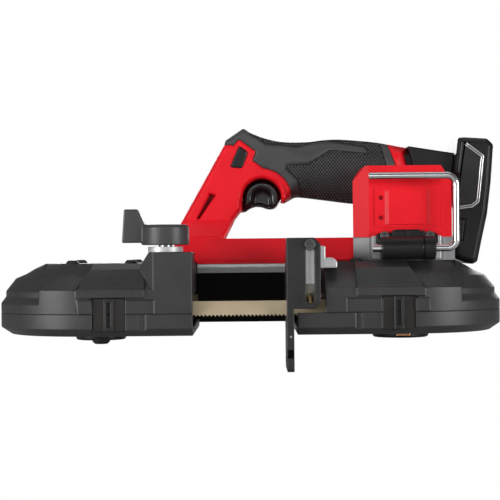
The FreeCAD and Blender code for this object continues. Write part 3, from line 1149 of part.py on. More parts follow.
def hook_bracket():
    mid = BARREL_LEFT + BARREL_LENGTH / 2
    left, right = mid - BRACKET_LENGTH / 2, mid + BRACKET_LENGTH / 2
    back = -CASE_FRONT - BACKING_THICKNESS
    front = back - BRACKET_THICKNESS
    ear = BRACKET_LENGTH / 4
    barrel_right = BARREL_LEFT + BARREL_LENGTH
    outline = [(BARREL_LEFT, BRACKET_BASE), (BARREL_LEFT, BRACKET_EAR_BASE), (left, BRACKET_EAR_BASE),
               (left, BRACKET_TOP - BRACKET_EAR_TOP),
               (left + BRACKET_EAR_TOP / 2, BRACKET_TOP - BRACKET_EAR_TOP / 2),
               (left + ear, BRACKET_TOP - BRACKET_EAR_TOP / 2),
               (left + ear + BRACKET_EAR_TOP / 2, BRACKET_TOP),
               (right - ear - BRACKET_EAR_TOP / 2, BRACKET_TOP),
               (right - ear, BRACKET_TOP - BRACKET_EAR_TOP / 2),
               (right - BRACKET_EAR_TOP / 2, BRACKET_TOP - BRACKET_EAR_TOP / 2),
               (right, BRACKET_TOP - BRACKET_EAR_TOP),
               (right, BRACKET_EAR_BASE), (barrel_right, BRACKET_EAR_BASE), (barrel_right, BRACKET_BASE)]
    plate = plate_xz(outline, front, back)
    web = box(BARREL_LEFT, BARREL_LEFT + BARREL_LENGTH, HOOK_Y, back, HOOK_Z - BARREL_RADIUS / 2,
              HOOK_Z + BARREL_RADIUS - BRACKET_EAR_TOP / 2)
    barrel = rod(V(BARREL_LEFT, HOOK_Y, HOOK_Z), V(BARREL_LEFT + BARREL_LENGTH, HOOK_Y, HOOK_Z),
                 BARREL_RADIUS)
    collar = rod(V(BARREL_LEFT + BARREL_LENGTH - BARREL_COLLAR, HOOK_Y, HOOK_Z),
                 V(BARREL_LEFT + BARREL_LENGTH, HOOK_Y, HOOK_Z), BARREL_RADIUS + BARREL_COLLAR_PROUD)
    bore = rod(V(BARREL_LEFT - OVERRUN, HOOK_Y, HOOK_Z),
               V(BARREL_LEFT + BARREL_LENGTH + OVERRUN, HOOK_Y, HOOK_Z),
               ROD_RADIUS + RUN_GAP)
    return fuse_all([plate, web, barrel, collar]).cut(bore)


def hook_backing():
    mid = BARREL_LEFT + BARREL_LENGTH / 2
    half = BRACKET_LENGTH / 2 + BACKING_MARGIN
    return box(mid - half, mid + half, -CASE_FRONT - BACKING_THICKNESS, -CASE_FRONT, BRACKET_BASE,
               BRACKET_TOP - BRACKET_EAR_TOP)


def hook_rod():
    """Bent rod: axle in the barrel, upright leg and top bar."""
    left = BARREL_LEFT - ROD_STUB
    y, low, high, leg, bend = HOOK_Y, HOOK_Z, HOOK_TOP, HOOK_LEG_X, ROD_BEND
    rise = bend * (1 - math.sqrt(2) / 2)
    points = [V(left, y, low), V(leg - bend, y, low), V(leg, y, low + bend), V(leg, y, high - bend),
              V(leg - bend, y, high), V(HOOK_TIP_X, y, high)]
    lower = Part.Arc(points[1], V(leg - rise, y, low + rise), points[2]).toShape()
    upper = Part.Arc(points[3], V(leg - rise, y, high - rise), points[4]).toShape()
    edges = [Part.makeLine(points[0], points[1]), lower, Part.makeLine(points[2], points[3]), upper,
             Part.makeLine(points[4], points[5])]
    path = Part.Wire(edges)
    section = Part.Wire([Part.makeCircle(ROD_RADIUS, points[0], V(1, 0, 0))])
    return path.makePipeShell([section], True, False)


def bracket_screws():
    mid = BARREL_LEFT + BARREL_LENGTH / 2
    face = -CASE_FRONT - BACKING_THICKNESS - BRACKET_THICKNESS
    z = BRACKET_TOP - BRACKET_SCREW_DROP
    heads = []
    for side in (-1, 1):
        spot = V(mid + side * BRACKET_SCREW_SPREAD / 2, face, z)
        head = rod(spot, spot - V(0, SCREW_HEAD, 0), BRACKET_SCREW_RADIUS)
        socket = rod(spot - V(0, SCREW_HEAD / 2, 0), spot - V(0, OVERRUN, 0), BRACKET_SCREW_RADIUS / 2)
        heads.append(head.cut(socket))
    return Part.makeCompound(heads)


def handle_points(shares):
    return [(HANDLE_LEFT + HANDLE_LENGTH * u, BAR_TOP + HANDLE_RISE * v) for u, v in shares]


HANDLE_STRETCHES = [(STRUT_SHARES, False), (GRIP_TOP_SHARES, True), (GRIP_UNDER_SHARES, True),
                    (GUARD_SHARES, False)]


def handle_outline():
    return [point for shares, _ in HANDLE_STRETCHES for point in handle_points(shares)]


def handle_wire(points, y):
    """Closed outline with the grip's long stretches as smooth curves."""
    edges = []
    first = 0
    for shares, smooth in HANDLE_STRETCHES:
        spots = [V(x, y, z) for x, z in points[first:first + len(shares)]]
        if smooth:
            curve = Part.BSplineCurve()
            curve.interpolate(spots)
            edges.append(curve.toShape())
        else:
            edges += [Part.makeLine(a, b) for a, b in zip(spots, spots[1:])]
        first += len(shares)
        x, z = points[first % len(points)]
        edges.append(Part.makeLine(spots[-1], V(x, y, z)))
    return Part.Wire(edges)


def handle_block():
    """Near half of the handle with a bevelled rim."""
    points = handle_outline()
    inner = handle_wire(inset_outline(points, HANDLE_EDGE), HANDLE_NEAR)
    outer = handle_wire(points, HANDLE_NEAR + HANDLE_EDGE)
    rim = Part.makeLoft([inner, outer], True, True)
    slab = Part.Face(outer).extrude(V(0, HANDLE_HALF - HANDLE_EDGE, 0))
    return fuse_all([rim, slab])


def handle_inside(depth):
    """Space inside the handle's outline, depth away from every face."""
    face = polygon_face([V(x, HANDLE_NEAR + depth, z) for x, z in handle_outline()])
    return face.makeOffset2D(-depth, 1).extrude(V(0, HANDLE_HALF - depth, 0))


def battery_local(points_uv, y0, y1):
    """Plate drawn along the sloping battery axis and turned into place."""
    body = plate_xz(points_uv, y0, y1)
    body.rotate(V(0, 0, 0), V(0, 1, 0), BATTERY_TILT_DEG)
    body.translate(V(BATTERY_X, 0, BATTERY_Z))
    return body


def battery_points(shares):
    return [(BATTERY_DEPTH * u, BATTERY_RISE - BATTERY_HEIGHT * (1 - v)) for u, v in shares]


def stick_block(gap, reach):
    half = STICK_HEIGHT / 2 + gap
    return battery_local([(-STICK_LENGTH - gap, -half), (reach, -half), (reach, half),
                          (-STICK_LENGTH - gap, half)],
                         HANDLE_MID - STICK_HALF - gap, HANDLE_MID + STICK_HALF + gap)


def trigger_form(gap, lift, drop, y0, y1):
    """Round-topped trigger body, grown by a gap and lifted by its travel."""
    x, z = handle_points([TRIGGER_SHARES])[0]
    radius = TRIGGER_RADIUS + gap
    disc = rod(V(x, y0, z + lift), V(x, y1, z + lift), radius)
    skirt = box(x - radius, x + radius, y0, y1, z - drop, z + lift)
    return fuse_all([disc, skirt])


def trigger_stem(gap, lift):
    x, z = handle_points([TRIGGER_SHARES])[0]
    half = TRIGGER_STEM_LENGTH / 2 + gap
    top = z + TRIGGER_RADIUS + TRIGGER_STEM_RISE + lift + gap
    return box(x - half, x + half, HANDLE_MID - TRIGGER_HALF / 2 - gap,
               HANDLE_MID + TRIGGER_HALF / 2 + gap, z, top)


def handle_half_body():
    """Near half of the handle: red shell and grip overmould, before the bar is added."""
    inner_face = HANDLE_NEAR - OVERRUN
    zone = plate_xz(handle_points(GRIP_ZONE_SHARES), inner_face, HANDLE_MID + OVERRUN)
    full = handle_block().cut(trigger_form(TRIGGER_GAP, 0, HANDLE_RISE, inner_face, HANDLE_MID + OVERRUN))
    arch_wall = trigger_form(TRIGGER_GAP + HANDLE_WALL, 0, HANDLE_RISE, inner_face, HANDLE_MID + OVERRUN)
    arch_skin = trigger_form(TRIGGER_GAP + OVERMOULD, 0, HANDLE_RISE, inner_face, HANDLE_MID + OVERRUN)
    core = handle_inside(OVERMOULD).cut(arch_skin)
    hollow = handle_inside(OVERMOULD + HANDLE_WALL).cut(arch_wall)
    pressed = trigger_form(TRIGGER_GAP, TRIGGER_TRAVEL, 0, HANDLE_MID - TRIGGER_HALF - TRIGGER_GAP,
                           HANDLE_MID + OVERRUN)
    button = plate_xz(inset_outline(handle_points(LOCK_SHARES), -FIT_GAP), inner_face, HANDLE_MID + OVERRUN)
    rooms = [hollow, pressed, trigger_stem(FIT_GAP, TRIGGER_TRAVEL), button, stick_block(STICK_GAP, OVERRUN)]
    shell = full.cut(zone).fuse(core)
    grip = full.common(zone).cut(core)
    for room in rooms:
        shell = shell.cut(room)
        grip = grip.cut(room)
    return shell.removeSplitter(), grip


def bar_half(y0, y1):
    left, right = HANDLE_LEFT, DRIVE_X - CASE_LEFT
    upper = box(left, right, y0, y1, DECK_HEIGHT, BAR_TOP)
    lower = box(-IDLER_INNER + FIT_GAP, DRIVE_INNER - FIT_GAP, y0, y1, BEAM_TOP, DECK_HEIGHT)
    room_y = sorted((HANDLE_MID, HANDLE_MID + math.copysign(HANDLE_HALF, y0 + y1 - 2 * HANDLE_MID)))
    room = box(left + HANDLE_WALL, right - HANDLE_WALL, room_y[0], room_y[1], DECK_HEIGHT + HANDLE_WALL,
               BAR_TOP - HANDLE_WALL)
    return fuse_all([upper, lower]).cut(room)


def mirror_handle(shape):
    return shape.mirror(V(0, HANDLE_MID, 0), V(0, 1, 0))


def strut_flare(face, bar_face):
    """Sloped foot where the strut widens to the bar."""
    points = handle_points(FLARE_SHARES)
    top = max(z for _, z in points)
    inner = face + math.copysign(HANDLE_EDGE, face - bar_face)
    slope = plate_yz([(bar_face, BAR_TOP), (inner, BAR_TOP), (inner, top), (face, top)],
                     HANDLE_LEFT, HANDLE_LEFT + HANDLE_LENGTH)
    low, high = sorted((bar_face, inner))
    return plate_xz(points, low, high).common(slope)


def handle_near(shell):
    groove = plate_xz(handle_points(GROOVE_SHARES), HANDLE_NEAR - OVERRUN, HANDLE_NEAR + GROOVE_DEPTH)
    flare = strut_flare(HANDLE_NEAR, FRAME_FRONT)
    return fuse_all([shell, bar_half(FRAME_FRONT, HANDLE_MID), flare]).cut(groove)


def handle_screw_spots():
    return [V(x, 2 * HANDLE_MID - HANDLE_NEAR, z) for x, z in handle_points(HANDLE_SCREW_SHARES)]


def handle_far(shell):
    flare = strut_flare(2 * HANDLE_MID - HANDLE_NEAR, BAR_BACK)
    return fuse_all([mirror_handle(shell), bar_half(HANDLE_MID, BAR_BACK), flare])


def handle_screws():
    heads = []
    for spot in handle_screw_spots():
        head = rod(spot, spot + V(0, SCREW_HEAD, 0), HANDLE_SCREW_RADIUS)
        heads.append(head.cut(rod(spot + V(0, SCREW_HEAD / 2, 0), spot + V(0, OVERRUN, 0),
                                  HANDLE_SCREW_RADIUS / 2)))
    return Part.makeCompound(heads)


def trigger():
    y0, y1 = HANDLE_MID - TRIGGER_HALF, HANDLE_MID + TRIGGER_HALF
    x, z = handle_points([TRIGGER_SHARES])[0]
    scoop = rod(V(x - SCOOP_SHIFT, y0 - OVERRUN, z - SCOOP_DROP),
                V(x - SCOOP_SHIFT, y1 + OVERRUN, z - SCOOP_DROP),
                SCOOP_RADIUS)
    return fuse_all([trigger_form(0, 0, TRIGGER_DROP, y0, y1), trigger_stem(0, 0)]).cut(scoop)


def lock_button():
    return plate_xz(handle_points(LOCK_SHARES), HANDLE_NEAR - LOCK_PROUD,
                    2 * HANDLE_MID - HANDLE_NEAR + LOCK_PROUD - LOCK_TRAVEL)


def switch_module():
    x, z = handle_points([SWITCH_SHARES])[0]
    near = HANDLE_NEAR + OVERMOULD + HANDLE_WALL
    return box(x, x + SWITCH_LENGTH, near, near + SWITCH_DEPTH, z, z + SWITCH_HEIGHT)


def battery_socket():
    far = 2 * HANDLE_MID - HANDLE_NEAR
    outer = plate_xz(handle_points(SOCKET_SHARES), HANDLE_NEAR, far)
    pack = battery_local(inset_outline(battery_points(BATTERY_OUTLINE_SHARES), -FIT_GAP),
                         HANDLE_NEAR - OVERRUN, far + OVERRUN)
    return outer.cut(stick_block(STICK_GAP, 2 * STICK_LENGTH)).cut(pack)


def panel_plate(near, depth, proud):
    """Side panel of the battery on its near or far side."""
    face = HANDLE_MID - BATTERY_HALF if near else HANDLE_MID + BATTERY_HALF
    out = -1 if near else 1
    y0, y1 = sorted((face + out * proud, face - out * depth))
    return battery_local(battery_points(PANEL_SHARES), y0, y1)


def latch_plate(near, gap, proud, sink):
    u, v = battery_points([LATCH_SHARES])[0]
    face = HANDLE_MID - BATTERY_HALF if near else HANDLE_MID + BATTERY_HALF
    out = -1 if near else 1
    y0, y1 = sorted((face + out * proud, face - out * sink))
    return battery_local([(u - gap, v - LATCH_HEIGHT - gap), (u + LATCH_LENGTH + gap, v - LATCH_HEIGHT - gap),
                          (u + LATCH_LENGTH + gap, v + gap), (u - gap, v + gap)], y0, y1)


def battery_case():
    outline = battery_points(BATTERY_OUTLINE_SHARES)
    near = bevelled_plate(outline, HANDLE_MID - BATTERY_HALF, HANDLE_MID, BATTERY_EDGE)
    body = fuse_all([near, mirror_handle(near)])
    body.rotate(V(0, 0, 0), V(0, 1, 0), BATTERY_TILT_DEG)
    body.translate(V(BATTERY_X, 0, BATTERY_Z))
    body = body.fuse(stick_block(0, BATTERY_WALL)).cut(battery_cells(FIT_GAP))
    for near_side in (True, False):
        body = body.cut(panel_plate(near_side, PANEL_RECESS, OVERRUN))
        body = body.cut(latch_plate(near_side, FIT_GAP, OVERRUN, LATCH_SINK + LATCH_TRAVEL))
    return body.removeSplitter()


def battery_cells(gap):
    """Upright cells in their bores, grown by a gap."""
    u = BATTERY_DEPTH / 2 + BATTERY_WALL
    high = BATTERY_RISE - CELL_TOP
    cells = []
    for k in (-1, 0, 1):
        y = HANDLE_MID + k * CELL_PITCH
        body = rod(V(u, y, high - CELL_LENGTH), V(u, y, high), CELL_RADIUS + gap)
        body.rotate(V(0, 0, 0), V(0, 1, 0), BATTERY_TILT_DEG)
        body.translate(V(BATTERY_X, 0, BATTERY_Z))
        cells.append(body)
    return Part.makeCompound(cells)


def dome(x, y):
    crown = DOME_RADIUS * 2 / 3
    return lathe(x, y, [(0, DECK_HEIGHT), (DOME_RADIUS, DECK_HEIGHT),
                        (DOME_RADIUS, DECK_HEIGHT + DOME_HEIGHT / 3),
                        (crown, DECK_HEIGHT + DOME_HEIGHT), (0, DECK_HEIGHT + DOME_HEIGHT)])


def deck_screws():
    heads = [dome(IDLER_X + DECK_SCREW_SHIFT + x * DECK_SCREW_SPREAD, y * DECK_SCREW_Y) for x in (-1, 1)
             for y in (-1, 1)]
    heads.append(dome(DRIVE_X - CASE_SCREW_NEAR, -CASE_SCREW_Y))
    heads.append(dome(DRIVE_X - CASE_SCREW_FAR, CASE_SCREW_Y))
    heads.append(dome(DRIVE_X + CASE_SCREW_END, CASE_SCREW_Y - DOME_RADIUS))
    return Part.makeCompound(heads)


def battery_panels():
    return Part.makeCompound([panel_plate(near, PANEL_RECESS, PANEL_PROUD) for near in (True, False)])


def pieces():
    shell, grip = handle_half_body()
    made = {
        "left_upper_shell": idler_upper_shell(),
        "right_upper_shell": drive_upper_shell(),
        "left_lower_guard": lower_guard(-1, IDLER_INNER),
        "right_lower_guard": lower_guard(1, DRIVE_GUARD_INNER),
        "clip_plates": clip_plates(),
        "main_frame": main_frame(),
        "rear_guard": rear_guard(),
        "blade": blade(),
        "idler_wheel": wheel(IDLER_X, BEARING_RADIUS),
        "idler_tyre": tyre(IDLER_X),
        "idler_bearings": idler_bearings(),
        "idler_nut": idler_nut(),
        "tension_slide": tension_slide(),
        "tension_spring": tension_spring(),
        "tension_shaft": tension_shaft(),
        "tension_lever": tension_lever(),
        "tension_collar": tension_collar(),
        "drive_wheel": wheel(DRIVE_X, OUTPUT_RADIUS),
        "drive_tyre": tyre(DRIVE_X),
        "drive_cap": drive_cap(),
        "drive_bush": drive_bush(),
        "output_shaft": output_shaft(),
        "output_bearing": output_bearing(),
        "ring_gear": ring_gear(),
        "motor_rotor": motor_rotor(),
        "motor_stator": motor_stator(),
        "motor_bells": motor_bells(),
        "gear_case": gear_case(),
        "motor_cover": motor_cover(),
        "control_board": control_board(),
        "left_guide_arm": left_guide_arm(),
        "right_guide_arm": right_guide_arm(),
        "shoe": shoe(),
        "shoe_screw": shoe_screw(),
        "hook_bracket": hook_bracket(),
        "hook_backing": hook_backing(),
        "hook_rod": hook_rod(),
        "bracket_screws": bracket_screws(),
        "handle_near": handle_near(shell),
        "handle_far": handle_far(shell),
        "grip_near": grip,
        "grip_far": mirror_handle(grip),
        "handle_screws": handle_screws(),
        "trigger": trigger(),
        "lock_button": lock_button(),
        "switch_module": switch_module(),
        "battery_socket": battery_socket(),
        "battery_case": battery_case(),
        "battery_cells": battery_cells(0),
        "battery_panels": battery_panels(),
        "battery_latch_near": latch_plate(True, 0, LATCH_PROUD, LATCH_SINK),
        "battery_latch_far": latch_plate(False, 0, LATCH_PROUD, LATCH_SINK),
        "deck_screws": deck_screws(),
    }
    for index in range(PLANET_COUNT):
        made["planet_gear_" + str(index + 1)] = planet(index)
    for side, name in ((1, "front"), (-1, "back")):
        made["left_roller_" + name] = guide_roller(LEFT_GUIDE_X, side)
        made["right_roller_" + name] = guide_roller(RIGHT_GUIDE_X, side)
    return made


def main():
    os.makedirs("parts", exist_ok=True)
    for name, shape in pieces().items():
        shape.translate(V(0, ORIGIN_SHIFT, 0))
        shape.exportStep("parts/" + name + ".step")
        print(name, len(shape.Solids), shape.isValid(), round(shape.Volume))


if __name__ == "__main__":
    main()
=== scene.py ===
import json
import math

import bmesh
import bpy
import numpy as np
from mathutils import Matrix, Vector
from mathutils.geometry import delaunay_2d_cdt

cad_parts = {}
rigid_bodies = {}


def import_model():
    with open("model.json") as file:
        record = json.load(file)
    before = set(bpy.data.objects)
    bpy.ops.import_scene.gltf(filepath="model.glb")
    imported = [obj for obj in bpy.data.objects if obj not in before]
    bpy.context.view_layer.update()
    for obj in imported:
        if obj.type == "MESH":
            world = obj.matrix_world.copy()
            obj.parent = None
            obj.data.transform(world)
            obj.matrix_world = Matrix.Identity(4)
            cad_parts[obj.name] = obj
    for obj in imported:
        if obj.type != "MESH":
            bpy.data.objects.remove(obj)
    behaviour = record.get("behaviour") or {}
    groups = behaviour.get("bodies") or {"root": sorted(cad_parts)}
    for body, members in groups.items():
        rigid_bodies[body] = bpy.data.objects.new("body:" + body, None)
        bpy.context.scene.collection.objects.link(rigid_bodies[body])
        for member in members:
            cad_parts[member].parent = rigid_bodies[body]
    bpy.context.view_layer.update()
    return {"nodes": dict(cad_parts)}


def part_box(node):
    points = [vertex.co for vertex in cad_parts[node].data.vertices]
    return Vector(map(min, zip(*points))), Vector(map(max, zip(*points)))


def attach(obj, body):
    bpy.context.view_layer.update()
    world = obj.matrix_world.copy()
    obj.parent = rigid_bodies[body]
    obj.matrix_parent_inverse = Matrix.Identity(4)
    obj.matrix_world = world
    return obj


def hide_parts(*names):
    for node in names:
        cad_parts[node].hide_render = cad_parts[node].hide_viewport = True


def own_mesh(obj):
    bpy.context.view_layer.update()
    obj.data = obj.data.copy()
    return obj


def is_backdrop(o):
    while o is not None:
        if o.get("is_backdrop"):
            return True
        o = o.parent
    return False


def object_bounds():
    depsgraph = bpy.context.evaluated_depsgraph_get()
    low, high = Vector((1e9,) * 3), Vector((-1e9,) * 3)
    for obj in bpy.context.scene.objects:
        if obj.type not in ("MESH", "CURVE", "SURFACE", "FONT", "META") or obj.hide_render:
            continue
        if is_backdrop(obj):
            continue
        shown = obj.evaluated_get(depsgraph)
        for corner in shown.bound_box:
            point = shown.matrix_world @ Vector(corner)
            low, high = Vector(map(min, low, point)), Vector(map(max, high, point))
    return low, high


for old in list(bpy.data.objects):
    bpy.data.objects.remove(old)

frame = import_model()
nodes = frame["nodes"]

# Lengths are in millimetres unless a name says metres. The visual pieces hang on planes of the CAD handle: its
# middle, its near and far faces, and the shift of the part's frame against the drawing.
MM = 0.001
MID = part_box("handle_far")[0].y / MM
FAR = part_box("handle_far")[1].y / MM
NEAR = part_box("handle_near")[0].y / MM
HANDLE_PLACE, HALF = 38.0, 19.0
SHIFT = MID - HANDLE_PLACE
TINY = 1e-4


# Materials

RAMP_STOPS = 0.3, 0.7
CLOUD_DETAIL, CLOUD_ROUGH, CLOUD_SHARE = 5.0, 0.55, 0.55
GRAIN_DETAIL, GRAIN_ROUGH, GRAIN_SHARE = 3.0, 0.6, 0.45
ROUGH_BELOW, ROUGH_ABOVE, ROUGH_LEAST = 0.07, 0.09, 0.03
RELIEF_METRES = 0.0002


def new_material(name):
    material = bpy.data.materials.new(name)
    material.use_nodes = True
    tree = material.node_tree
    return material, tree, tree.nodes["Principled BSDF"]


def add(tree, kind, **inputs):
    node = tree.nodes.new(kind)
    for key, value in inputs.items():
        node.inputs[key.replace("_", " ")].default_value = value
    return node


def add_math(tree, operation):
    node = tree.nodes.new("ShaderNodeMath")
    node.operation = operation
    return node


def surface(name, dark, light, rough, metal=0.0, grain=2600.0, bump=0.12, blotch=45.0, coat=0.0, brushed=None,
            spec=0.5):
    """Body colour that drifts between two tones, uneven roughness and a fine moulded or machined grain."""
    material, tree, shader = new_material(name)
    link = tree.links.new
    place = tree.nodes.new("ShaderNodeTexCoord")
    source = place.outputs["Object"]
    if brushed:
        stretch = add(tree, "ShaderNodeMapping", Scale=brushed)
        link(source, stretch.inputs["Vector"])
        source = stretch.outputs["Vector"]
    cloud = add(tree, "ShaderNodeTexNoise", Scale=blotch, Detail=CLOUD_DETAIL, Roughness=CLOUD_ROUGH)
    link(place.outputs["Object"], cloud.inputs["Vector"])
    tone = tree.nodes.new("ShaderNodeValToRGB")
    for stop, position, colour in zip(tone.color_ramp.elements, RAMP_STOPS, (dark, light)):
        stop.position = position
        stop.color = (*colour, 1)
    link(cloud.outputs["Fac"], tone.inputs["Fac"])
    link(tone.outputs["Color"], shader.inputs["Base Color"])
    fine = add(tree, "ShaderNodeTexNoise", Scale=grain, Detail=GRAIN_DETAIL, Roughness=GRAIN_ROUGH)
    link(source, fine.inputs["Vector"])
    clouded = add_math(tree, "MULTIPLY")
    clouded.inputs[1].default_value = CLOUD_SHARE
    link(cloud.outputs["Fac"], clouded.inputs[0])
    uneven = add_math(tree, "MULTIPLY_ADD")
    uneven.inputs[1].default_value = GRAIN_SHARE
    link(fine.outputs["Fac"], uneven.inputs[0])
    link(clouded.outputs["Value"], uneven.inputs[2])
    span = add(tree, "ShaderNodeMapRange", To_Min=max(ROUGH_LEAST, rough - ROUGH_BELOW), To_Max=rough + ROUGH_ABOVE)
    link(uneven.outputs["Value"], span.inputs["Value"])
    link(span.outputs["Result"], shader.inputs["Roughness"])
    relief = add(tree, "ShaderNodeBump", Strength=bump, Distance=RELIEF_METRES)
    link(fine.outputs["Fac"], relief.inputs["Height"])
    link(relief.outputs["Normal"], shader.inputs["Normal"])
    shader.inputs["Metallic"].default_value = metal
    shader.inputs["Specular IOR Level"].default_value = spec
    shader.inputs["Coat Weight"].default_value = coat
    return material


SHELL = surface("shell_plastic", (0.0196, 0.0196, 0.0207), (0.0276, 0.0276, 0.0287), 0.44, bump=0.16, spec=0.38)
KNOB = surface("knob_plastic", (0.0338, 0.0338, 0.0351), (0.0442, 0.0442, 0.0455), 0.44,
               grain=3200.0, bump=0.1, spec=0.38)
RED = surface("red_plastic", (0.624, 0.00585, 0.0137), (0.702, 0.0078, 0.0169), 0.40,
              grain=3400.0, bump=0.05, spec=0.16)
# Dark red painted as shade: it stands for the shade in the handle's pocket, on the floors of the cover's dimples and
# in the slit behind the trigger.
RED_PAINTED_SHADE = surface("red_recess_painted_shade", (0.10, 0.002, 0.004), (0.14, 0.003, 0.005), 0.6, grain=3400.0, bump=0.1, spec=0.1)
GRIP = surface("grip_rubber", (0.0338, 0.0338, 0.0351), (0.0468, 0.0468, 0.0481), 0.52,
               grain=3000.0, bump=0.1, spec=0.45)
GROUND = surface("grip_ground_rubber", (0.01, 0.01, 0.0106), (0.015, 0.015, 0.0156), 0.6,
                 grain=3000.0, bump=0.1, spec=0.25)
PADS = surface("grip_pad_rubber", (0.0364, 0.0364, 0.0377), (0.052, 0.052, 0.0533), 0.42,
               grain=3000.0, bump=0.06, spec=0.5)
BLACK = surface("black_plastic", (0.007, 0.007, 0.0075), (0.011, 0.011, 0.012), 0.36,
                grain=3200.0, bump=0.08, spec=0.24)
GUARD_BLACK = surface("guard_black", (0.003, 0.003, 0.0032), (0.005, 0.005, 0.0054), 0.55,
                      grain=3200.0, bump=0.08, spec=0.08)
GLOSS = surface("trigger_plastic", (0.007, 0.007, 0.008), (0.011, 0.011, 0.012), 0.22, grain=3600.0, bump=0.03)
ALU = surface("cast_aluminium", (0.50, 0.51, 0.52), (0.62, 0.63, 0.64), 0.42, metal=0.85, grain=1500.0, bump=0.18)
CASE = surface("case_aluminium", (0.20, 0.205, 0.21), (0.26, 0.265, 0.27), 0.5,
               metal=0.3, grain=1500.0, bump=0.18, spec=0.3)
SATIN = surface("satin_aluminium", (0.439, 0.445, 0.451), (0.525, 0.531, 0.537), 0.5,
                metal=0.55, grain=1500.0, bump=0.1)
# Near black painted as shade: it stands for the shade inside the shoe's notch.
GAP_PAINTED_SHADE = surface("gap_painted_shade", (0.002, 0.002, 0.002), (0.004, 0.004, 0.004), 0.9, grain=1500.0, bump=0.1, spec=0.02)
BRIGHT = surface("bright_aluminium", (0.60, 0.61, 0.62), (0.68, 0.69, 0.70), 0.30,
                 metal=1.0, grain=2600.0, bump=0.04, blotch=20.0)
STEEL = surface("machined_steel", (0.42, 0.42, 0.43), (0.52, 0.52, 0.53), 0.32,
                metal=1.0, brushed=(1, 1, 10), grain=1200.0, bump=0.1)
ZINC = surface("bright_zinc", (0.56, 0.57, 0.58), (0.66, 0.67, 0.68), 0.16, metal=1.0, grain=700.0, bump=0.04)
BLACK_STEEL = surface("black_steel", (0.0192, 0.019, 0.0186), (0.0288, 0.0284, 0.028), 0.40,
                      metal=0.2, grain=1800.0, bump=0.12, spec=0.25)
CLIP = surface("clip_steel", (0.008, 0.007, 0.006), (0.014, 0.012, 0.011), 0.30, metal=0.1, grain=1800.0, bump=0.08)
GUN = surface("dark_screw_steel", (0.07, 0.07, 0.072), (0.105, 0.105, 0.11), 0.34,
              metal=0.7, grain=1800.0, bump=0.08)
BLADE = surface("blade_steel", (0.429, 0.345, 0.227), (0.546, 0.448, 0.305), 0.42,
                metal=0.45, brushed=(0.06, 1, 1), grain=5200.0, bump=0.08)
BRASS = surface("brass", (0.60, 0.43, 0.17), (0.72, 0.54, 0.26), 0.28, metal=1.0, grain=1500.0, bump=0.06)
BRONZE = surface("bronze", (0.72, 0.34, 0.16), (0.86, 0.46, 0.25), 0.24, metal=1.0, grain=1500.0, bump=0.06)
TYRE = surface("tyre_rubber", (0.018, 0.018, 0.018), (0.026, 0.026, 0.026), 0.7, grain=1800.0, bump=0.2)
COPPER = surface("copper_windings", (0.55, 0.24, 0.12), (0.68, 0.33, 0.18), 0.35,
                 metal=0.9, brushed=(1, 1, 12), grain=900.0, bump=0.3)
BOARD = surface("circuit_board", (0.02, 0.13, 0.05), (0.03, 0.18, 0.07), 0.4, grain=900.0, bump=0.2)
WRAP = surface("cell_wrap", (0.03, 0.14, 0.26), (0.05, 0.19, 0.34), 0.3, grain=1500.0, bump=0.04)
PANEL = surface("panel_charcoal", (0.013, 0.0133, 0.014), (0.019, 0.0195, 0.021), 0.32,
                grain=4200.0, bump=0.05, coat=0.05, spec=0.3)
TRIM = surface("trim_silver", (0.52, 0.54, 0.55), (0.64, 0.66, 0.67), 0.3, metal=0.7, grain=2200.0, bump=0.05)


# CAD pieces keep their shape and get soft edges and a material

WELD_METRES, FLAT_DEG = 0.000002, 0.5
DRESS_SEGMENTS, DRESS_DEG = 2, 28.0
SOFT_SEGMENTS, SOFT_DEG = 3, 30.0


def soften(made, width, segments=SOFT_SEGMENTS, angle=SOFT_DEG):
    edge = made.modifiers.new("edge", "BEVEL")
    edge.width = width * MM
    edge.segments = segments
    edge.limit_method = "ANGLE"
    edge.angle_limit = math.radians(angle)
    edge.harden_normals = True
    return edge


def dress(name, material, width, flatten):
    piece = nodes[name]
    piece.data.materials.clear()
    piece.data.materials.append(material)
    weld = piece.modifiers.new("weld", "WELD")
    weld.merge_threshold = WELD_METRES
    if flatten:
        flat = piece.modifiers.new("flat", "DECIMATE")
        flat.decimate_type = "DISSOLVE"
        flat.angle_limit = math.radians(FLAT_DEG)
    edge = soften(piece, width, DRESS_SEGMENTS, DRESS_DEG)
    edge.use_clamp_overlap = not flatten
    normal = piece.modifiers.new("normal", "WEIGHTED_NORMAL")
    normal.keep_sharp = True


